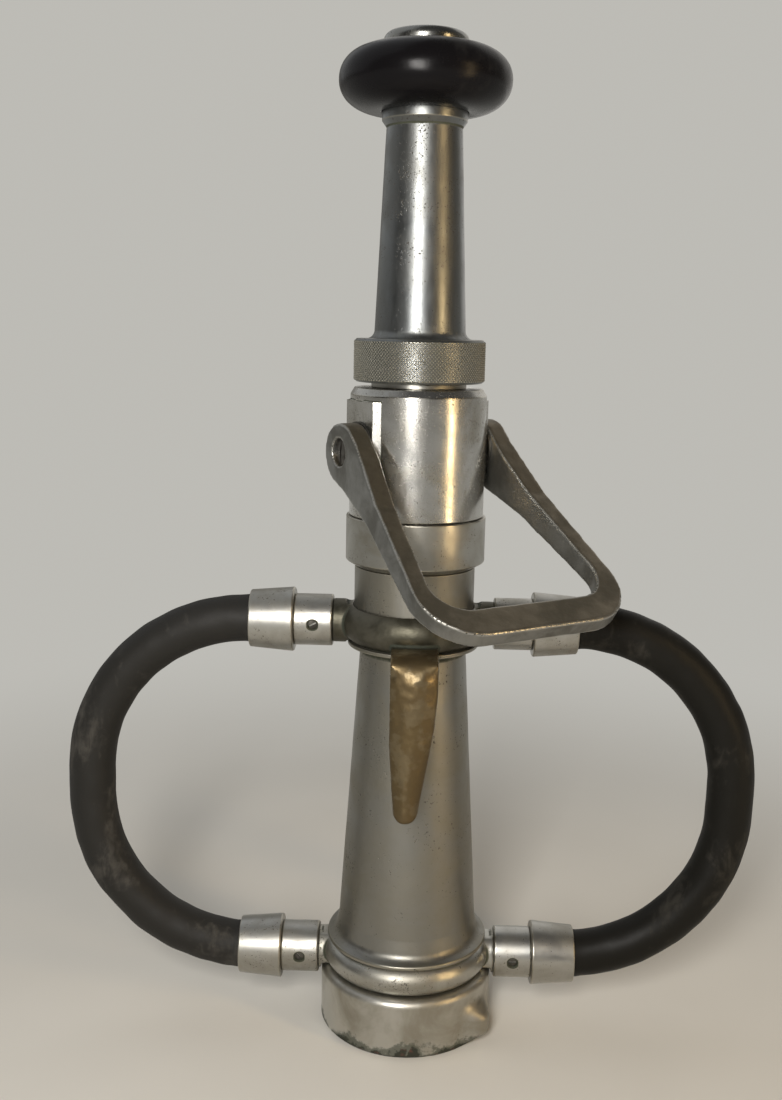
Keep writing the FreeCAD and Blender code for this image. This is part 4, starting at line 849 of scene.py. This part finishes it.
def makeTip():
    bottom, top = low("tip_base").z, high("tip_base").z
    corners = [
        (valve["waterway"], bottom, 0.2), (21.95, bottom, 0.3), (21.95, tip["neckFoot"], 0.1),
        (tip["neck"], tip["neckFoot"], 0.3, 0.42), (tip["neck"], tip["neckTop"], 0.5),
        (16.5, tip["neckTop"], 0.4), (16.5, top, 0.4), (14.0, top, 0.1), (14.0, 372.2, 0.1),
        (12.2, 372.2, 0.1), (12.2, 368.2, 0.5)]
    mesh = turned("tipNeck", corners, neckShape, angleSteps(160))
    settle(mesh, "tipNeck", "playpipe", ["tip_base"], "basePlate")
    bottom, top = low("barrel").z, high("barrel").z
    knurlTop = bottom + tip["knurlTall"]
    collar = low("bumper").z - 5.4
    collarTop = collar + tip["collarTall"]
    land = tip["knurl"] - tip["knurlRise"] - 0.05
    corners = [
        (tip["bore"], bottom, 0.4), (land - 1.0, bottom, 0.3), (land, bottom + tip["knurlChamfer"], 0.2, 6.0),
        (land, knurlTop - tip["knurlChamfer"], 0.2), (land - 1.0, knurlTop, 0.3),
        (tip["foot"] + 0.2, knurlTop, tip["flare"]), (tip["head"], collar - 1.6, 1.2, 1.5),
        (tip["head"] + 1.2, collar, 0.6), (tip["collar"], collar + 1.5, 0.8), (tip["collar"], collarTop, 0.3),
        (tip["end"], collarTop, 0.2), (tip["end"], top, 0.2), (15.0, top, 0.1), (15.0, 386.0, 0.2),
        (17.2, 386.0, 0.2), (17.2, 373.5, 0.2), (tip["bore"], 373.5, 0.2)]
    mesh = turned("tipBarrel", corners, barrelShape, angleSteps(208), arcSteps=6)
    settle(mesh, "tipBarrel", "tip_barrel", ["barrel"], "barrelPlate")
    foot, crown = low("end_cap").z, high("end_cap").z
    corners = [
        (9.5, foot, 0.3), (14.95, foot, 0.3), (14.95, top, 0.1), (21.0, top, 0.4), (21.0, crown - 1.6, 4.2),
        (14.5, crown, 2.0), (11.0, crown, 0.8), (9.5, crown - 2.5, 0.5)]
    mesh = turned("endCap", corners, None, angleSteps(192), arcSteps=8)
    settle(mesh, "endCap", "tip_barrel", ["end_cap"], "capPlate")


bumper = {"middle": 23.8, "wide": 18.9, "tall": 15.1, "sweep": 1.70, "steps": 72, "fullness": 2.12,
          "seatFoot": 488.1, "seatTop": 512.8, "wear": 0.12}


def bumperShape(r, z, a):
    return r + (r > 25) * dents(r, z, a, 9.0) * bumper["wear"]


def makeBumper():
    first, last = low("bumper"), high("bumper")
    height = (first.z + last.z) / 2
    inner, wall = tip["collar"] + 0.1, tip["end"] + 0.05
    power = 2 / bumper["fullness"]
    section = []
    for turn in np.linspace(-bumper["sweep"], bumper["sweep"], bumper["steps"]):
        side = math.cos(turn)
        r = bumper["middle"] + bumper["wide"] * math.copysign(abs(side) ** power, side)
        z = height + bumper["tall"] * math.copysign(abs(math.sin(turn)) ** power, turn)
        if r > inner:
            section.append((r, z))
    section += [(inner, section[-1][1] - 0.4), (inner, bumper["seatTop"]), (wall, bumper["seatTop"]),
                (wall, bumper["seatFoot"]), (inner, bumper["seatFoot"]), (inner, section[0][1] + 0.4)]
    mesh = turned("bumperRing", section, bumperShape, angleSteps(208))
    settle(mesh, "bumperRing", "tip_barrel", ["bumper"], "bumperRubber")


makePipe()
makeCoupling()
print("pipe and coupling")
makeBail()
makeRings()
print("cast pieces")
makeHandles()
makeGrips()
print("handles")
makeValve()
makeTip()
makeBumper()
print("valve and tip")


# repeated pieces, grown with Geometry Nodes

class Recipe(NodeSheet):                            # a node tree with named inputs
    def __init__(self, name, inputs):
        super().__init__(bpy.data.node_groups.new(name, "GeometryNodeTree"))
        self.tree.is_modifier = True
        face = self.tree.interface
        face.new_socket(name="Geometry", in_out="INPUT", socket_type="NodeSocketGeometry")
        self.keys = {}
        for label, value in inputs.items():
            kind = "NodeSocketInt" if isinstance(value, int) else "NodeSocketFloat"
            socket = face.new_socket(name=label, in_out="INPUT", socket_type=kind)
            socket.default_value = value
            self.keys[label] = socket.identifier
        face.new_socket(name="Geometry", in_out="OUTPUT", socket_type="NodeSocketGeometry")
        self.inputs = self.tree.nodes.new("NodeGroupInput")

    def given(self, label):
        return Level(self, self.inputs.outputs[label])

    def close(self, geometry, material):
        real = self.node("GeometryNodeRealizeInstances", {}, {"Geometry": geometry})
        coated = self.node("GeometryNodeSetMaterial", {}, {"Geometry": real, "Material": materials[material]})
        output = self.tree.nodes.new("NodeGroupOutput")
        self.tree.links.new(coated.socket, output.inputs[0])

    def grow(self, name, values, places=(), aims=()):
        mesh = bpy.data.meshes.new(name)
        mesh.from_pydata([tuple(place) for place in places], [], [])
        if len(aims):
            layer = mesh.attributes.new("aim", "FLOAT_VECTOR", "POINT")
            layer.data.foreach_set("vector", np.array(aims, np.float32).ravel())
            layer = mesh.attributes.new("turn", "FLOAT", "POINT")
            layer.data.foreach_set("value", np.arange(len(aims), dtype=np.float32) * 0.9 + 0.5)
        blank = bpy.data.objects.new(name, mesh)
        bpy.context.scene.collection.objects.link(blank)
        modifier = blank.modifiers.new("grow", "NODES")
        modifier.node_group = self.tree
        for label, value in values.items():
            modifier[self.keys[label]] = value
        return evaluated(blank)


knurl = {"Rows": 21, "Columns": 120, "Radius": 33.15 * mm, "Bottom": 354.45 * mm, "Row step": 0.92 * mm,
         "Diamond": 0.87 * mm, "Height": 0.52 * mm, "Flat": 0.20 * mm}


def makeKnurl():                                    # staggered rows of blunt pyramids round the hand ring
    recipe = Recipe("knurledBand", knurl)
    index = recipe.node("GeometryNodeInputIndex")
    columns = recipe.given("Columns")
    row = recipe.maths("FLOOR", recipe.maths("DIVIDE", index + 0.5, columns))
    column = index - row * columns
    stagger = recipe.maths("MODULO", row, 2.0) * 0.5
    angle = (column + stagger) * recipe.maths("DIVIDE", 2 * math.pi, columns)
    radius = recipe.given("Radius")
    height = recipe.given("Bottom") + row * recipe.given("Row step")
    spot = recipe.vector(radius * recipe.maths("COSINE", angle), radius * recipe.maths("SINE", angle), height)
    count = recipe.given("Rows") * columns
    points = recipe.node("GeometryNodePoints", {}, {"Count": count, "Position": spot})
    diamond = recipe.node("GeometryNodeMeshCone", {"fill_type": "NGON"}, {
        "Vertices": 4, "Radius Top": recipe.given("Flat"), "Radius Bottom": recipe.given("Diamond"),
        "Depth": recipe.given("Height")})
    worn = recipe.node("FunctionNodeRandomValue", {"data_type": "FLOAT"}, {2: 0.78, 3: 1.0, 8: 11}, output=1)
    turn = recipe.node("FunctionNodeEulerToRotation", {}, {0: recipe.vector(0.0, math.pi / 2, angle)})
    grown = recipe.node("GeometryNodeInstanceOnPoints", {}, {
        "Points": points, "Instance": diamond, "Rotation": turn,
        "Scale": recipe.vector(1.0, 1.0, worn)})
    recipe.close(grown, "knurlPlate")
    mesh = recipe.grow("knurledBand", knurl)
    settle(mesh, "knurledBand", "tip_barrel", ["barrel"], "knurlPlate", crisp=20)


screwSizes = {"Radius": 6.5 * mm, "Depth": 3.2 * mm, "Slot width": 1.6 * mm, "Slot depth": 1.2 * mm,
              "Dome": 22.0 * mm}
setScrewSizes = {**screwSizes, "Radius": 2.55 * mm, "Depth": 3.1 * mm, "Slot width": 0.8 * mm,
                 "Dome": 14.0 * mm}
plugSizes = {"Radius": 2.1 * mm, "Depth": 4.4 * mm, "Slot width": 0.4 * mm, "Slot depth": 0.2 * mm,
             "Dome": 10.0 * mm}
screwPlaces = {"pivotReach": 45.2 * mm, "plug": (0, -46.2 * mm, 28.8 * mm), "plugAim": (0, -0.945, 0.326)}


def screwRecipe():                                  # slotted heads, domed a little, for all sizes
    recipe = Recipe("slottedScrews", screwSizes)
    radius, depth, dome = recipe.given("Radius"), recipe.given("Depth"), recipe.given("Dome")
    shank = recipe.node("GeometryNodeMeshCylinder", {"fill_type": "NGON"}, {
        "Vertices": 48, "Radius": radius, "Depth": depth})
    shank = recipe.node("GeometryNodeTransform", {}, {
        "Geometry": shank, "Translation": recipe.vector(0.0, 0.0, depth * -0.5)})
    ball = recipe.node("GeometryNodeMeshUVSphere", {}, {"Segments": 96, "Rings": 64, "Radius": dome})
    ball = recipe.node("GeometryNodeTransform", {}, {
        "Geometry": ball, "Translation": recipe.vector(0.0, 0.0, dome * -1.0)})
    head = recipe.node("GeometryNodeMeshBoolean", {"operation": "INTERSECT"}, {1: shank})
    recipe.tree.links.new(ball.socket, head.socket.node.inputs[1])
    slotSize = recipe.vector(radius * 3.0, recipe.given("Slot width"), recipe.given("Slot depth") * 2.0)
    slot = recipe.node("GeometryNodeMeshCube", {}, {"Size": slotSize})
    head = recipe.node("GeometryNodeMeshBoolean", {"operation": "DIFFERENCE"}, {0: head, 1: slot})
    aim = recipe.node("GeometryNodeInputNamedAttribute", {"data_type": "FLOAT_VECTOR"}, {"Name": "aim"})
    turn = recipe.node("GeometryNodeInputNamedAttribute", {"data_type": "FLOAT"}, {"Name": "turn"})
    facing = recipe.node("FunctionNodeAlignRotationToVector", {"axis": "Z"}, {"Vector": aim})
    twist = recipe.node("FunctionNodeEulerToRotation", {}, {0: recipe.vector(0.0, 0.0, turn)})
    facing = recipe.node("FunctionNodeRotateRotation", {"rotation_space": "LOCAL"}, {0: facing, 1: twist})
    grown = recipe.node("GeometryNodeInstanceOnPoints", {}, {
        "Points": recipe.given("Geometry"), "Instance": head, "Rotation": facing})
    recipe.close(grown, "screwSteel")
    return recipe


def makeScrews():
    recipe = screwRecipe()
    spots = []
    for level in ("upper", "lower"):
        for side in ("left", "right"):
            first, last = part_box(f"sleeve_{level}_{side}")
            spots.append(((first.x + last.x) / 2, low("set_screws").y * mm, (first.z + last.z) / 2))
    mesh = recipe.grow("setScrews", setScrewSizes, spots, [(0, -1, 0)] * 4)
    settle(mesh, "setScrews", "handle_frame", ["set_screws"], "screwSteel", crisp=35)
    for side, sign in (("left", -1), ("right", 1)):
        head = pivot + bailAxis * sign * screwPlaces["pivotReach"]
        mesh = recipe.grow(f"pivotScrew{side.title()}", screwSizes, [head], [tuple(bailAxis * sign)])
        settle(mesh, mesh.name, "bail", [f"pivot_screw_{side}"], "screwSteel", crisp=35)
    # the plug is filed flush and lies just under the coupling's plating
    mesh = recipe.grow("racePlug", plugSizes, [screwPlaces["plug"]], [screwPlaces["plugAim"]])
    settle(mesh, "racePlug", "hose_coupling", ["race_plug"], "couplingPlate", crisp=35)


makeKnurl()
makeScrews()
print("knurl and screws")

# the fixed pieces that stay as they are take these finishes
innerFinishes = {
    "ballSteel": ["swivel_balls", "core_rod_left", "core_rod_right", "valve_ball"],
    "sealRubber": ["hose_gasket", "pipe_gasket", "lower_seat", "upper_seat", "stem_seals", "tip_gasket",
                   "barrel_seal"],
    "innerBrass": ["stem_bush_left", "stem_bush_right", "stem_left", "stem_right", "stream_tube",
                   "deflector"],
    "screwSteel": ["boss_washers"],
}
for finish, nodes in innerFinishes.items():
    for node in nodes:
        slots = frame["nodes"][node].data.materials
        slots.clear()
        slots.append(materials[finish])


# camera, floor and light

view = {"place": (0.0, -0.62097, 0.38113), "pitch": -10.597, "yaw": -1.169, "roll": 1.105, "lens": 39.27}


def makeCamera():
    pitch, yaw, roll = (math.radians(view[key]) for key in ("pitch", "yaw", "roll"))
    ahead = Vector((math.sin(yaw) * math.cos(pitch), math.cos(yaw) * math.cos(pitch), math.sin(pitch)))
    level = Vector((math.cos(yaw), -math.sin(yaw), 0))
    up = level.cross(ahead)
    right = level * math.cos(roll) + up * math.sin(roll)
    up = up * math.cos(roll) - level * math.sin(roll)
    camera = bpy.data.objects.new("camera", bpy.data.cameras.new("camera"))
    bpy.context.scene.collection.objects.link(camera)
    turn = Matrix((right, up, -ahead)).transposed()
    camera.matrix_world = Matrix.Translation(view["place"]) @ turn.to_4x4()
    camera.data.lens = view["lens"]
    camera.data.sensor_width = 36.0
    camera.data.clip_start = 0.01
    bpy.context.scene.camera = camera


lamps = {
    "key": {"from": (-0.15, -0.86, 0.56), "at": (0, 0, 0.28), "size": (0.19, 0.42), "power": 9.0,
            "colour": (1.0, 0.97, 0.93)},
    "fill": {"from": (-0.75, 0.35, 1.15), "at": (0, 0, 0.25), "size": (1.7, 1.7), "power": 4.0,
             "colour": (0.93, 0.96, 1.0)},
    "warm": {"from": (0.80, -0.52, 0.42), "at": (0, 0, 0.30), "size": (0.10, 0.75), "power": 2.7,
             "colour": (1.0, 0.71, 0.36)},
    "back": {"from": (0.5, 1.1, 0.95), "at": (0, 0, 0.28), "size": (1.5, 1.5), "power": 4.0,
             "colour": (1.0, 0.97, 0.93)},
}


def makeLamps():
    for name, lamp in lamps.items():
        light = bpy.data.lights.new(name, "AREA")
        light.shape = "RECTANGLE"
        light.size, light.size_y = lamp["size"]
        light.energy = lamp["power"]
        light.color = lamp["colour"]
        holder = bpy.data.objects.new(name, light)
        bpy.context.scene.collection.objects.link(holder)
        place = Vector(lamp["from"])
        holder.location = place
        holder.rotation_euler = (Vector(lamp["at"]) - place).to_track_quat("-Z", "Y").to_euler()


surroundings = {"seen": colour(0.51, 0.50, 0.465), "front": colour(0.022, 0.020, 0.018),
                "behind": colour(0.26, 0.25, 0.225), "above": colour(0.09, 0.09, 0.09)}


def makeSurroundings():                             # a pale room, darker on the side that the camera stands
    world = bpy.data.worlds.new("room")
    world.use_nodes = True
    bpy.context.scene.world = world
    sheet = NodeSheet(world.node_tree)
    look = surroundings
    toward = sheet.node("ShaderNodeTexCoord", output="Generated")
    room = sheet.mix(sheet.along(toward, 1).ramp(-0.55, 0.75), look["front"], look["behind"])
    room = sheet.mix(sheet.along(toward, 2).ramp(0.15, 0.8) * 0.8, room, look["above"])
    direct = sheet.node("ShaderNodeLightPath", output="Is Camera Ray")
    light = sheet.node("ShaderNodeBackground", {}, {"Color": sheet.mix(direct, room, look["seen"])})
    output = sheet.tree.nodes.new("ShaderNodeOutputWorld")
    sheet.tree.links.new(light.socket, output.inputs["Surface"])


floorLook = {"pale": colour(0.69, 0.665, 0.61), "shade": colour(0.66, 0.635, 0.58), "fade": (0.12, 0.80),
             "half": 6}


def makeFloor():                                    # it fades into the room's own paleness further out
    sheet = Finish("paleFloor")
    place = sheet.place()
    soft = sheet.grain(place, 5.0, 3.0).ramp(0.3, 0.7)
    far = sheet.reach(place).ramp(*floorLook["fade"])
    near = sheet.mix(soft, floorLook["pale"], floorLook["shade"])
    black = colour(0, 0, 0)
    sheet.feed({"Base Color": sheet.mix(far, near, black), "Roughness": 0.9, "Specular IOR Level": 0.0,
                "Emission Color": sheet.mix(far, black, surroundings["seen"]), "Emission Strength": 1.0})
    mesh = bpy.data.meshes.new("floor")
    half = floorLook["half"]
    corners = [(-half, -half, 0), (half, -half, 0), (half, half, 0), (-half, half, 0)]
    mesh.from_pydata(corners, [], [(0, 1, 2, 3)])
    mesh.materials.append(sheet.material)
    floor = bpy.data.objects.new("floor", mesh)
    bpy.context.scene.collection.objects.link(floor)


makeCamera()
makeLamps()
makeSurroundings()
makeFloor()
bpy.context.scene.view_settings.view_transform = "Standard"
print("camera and light")
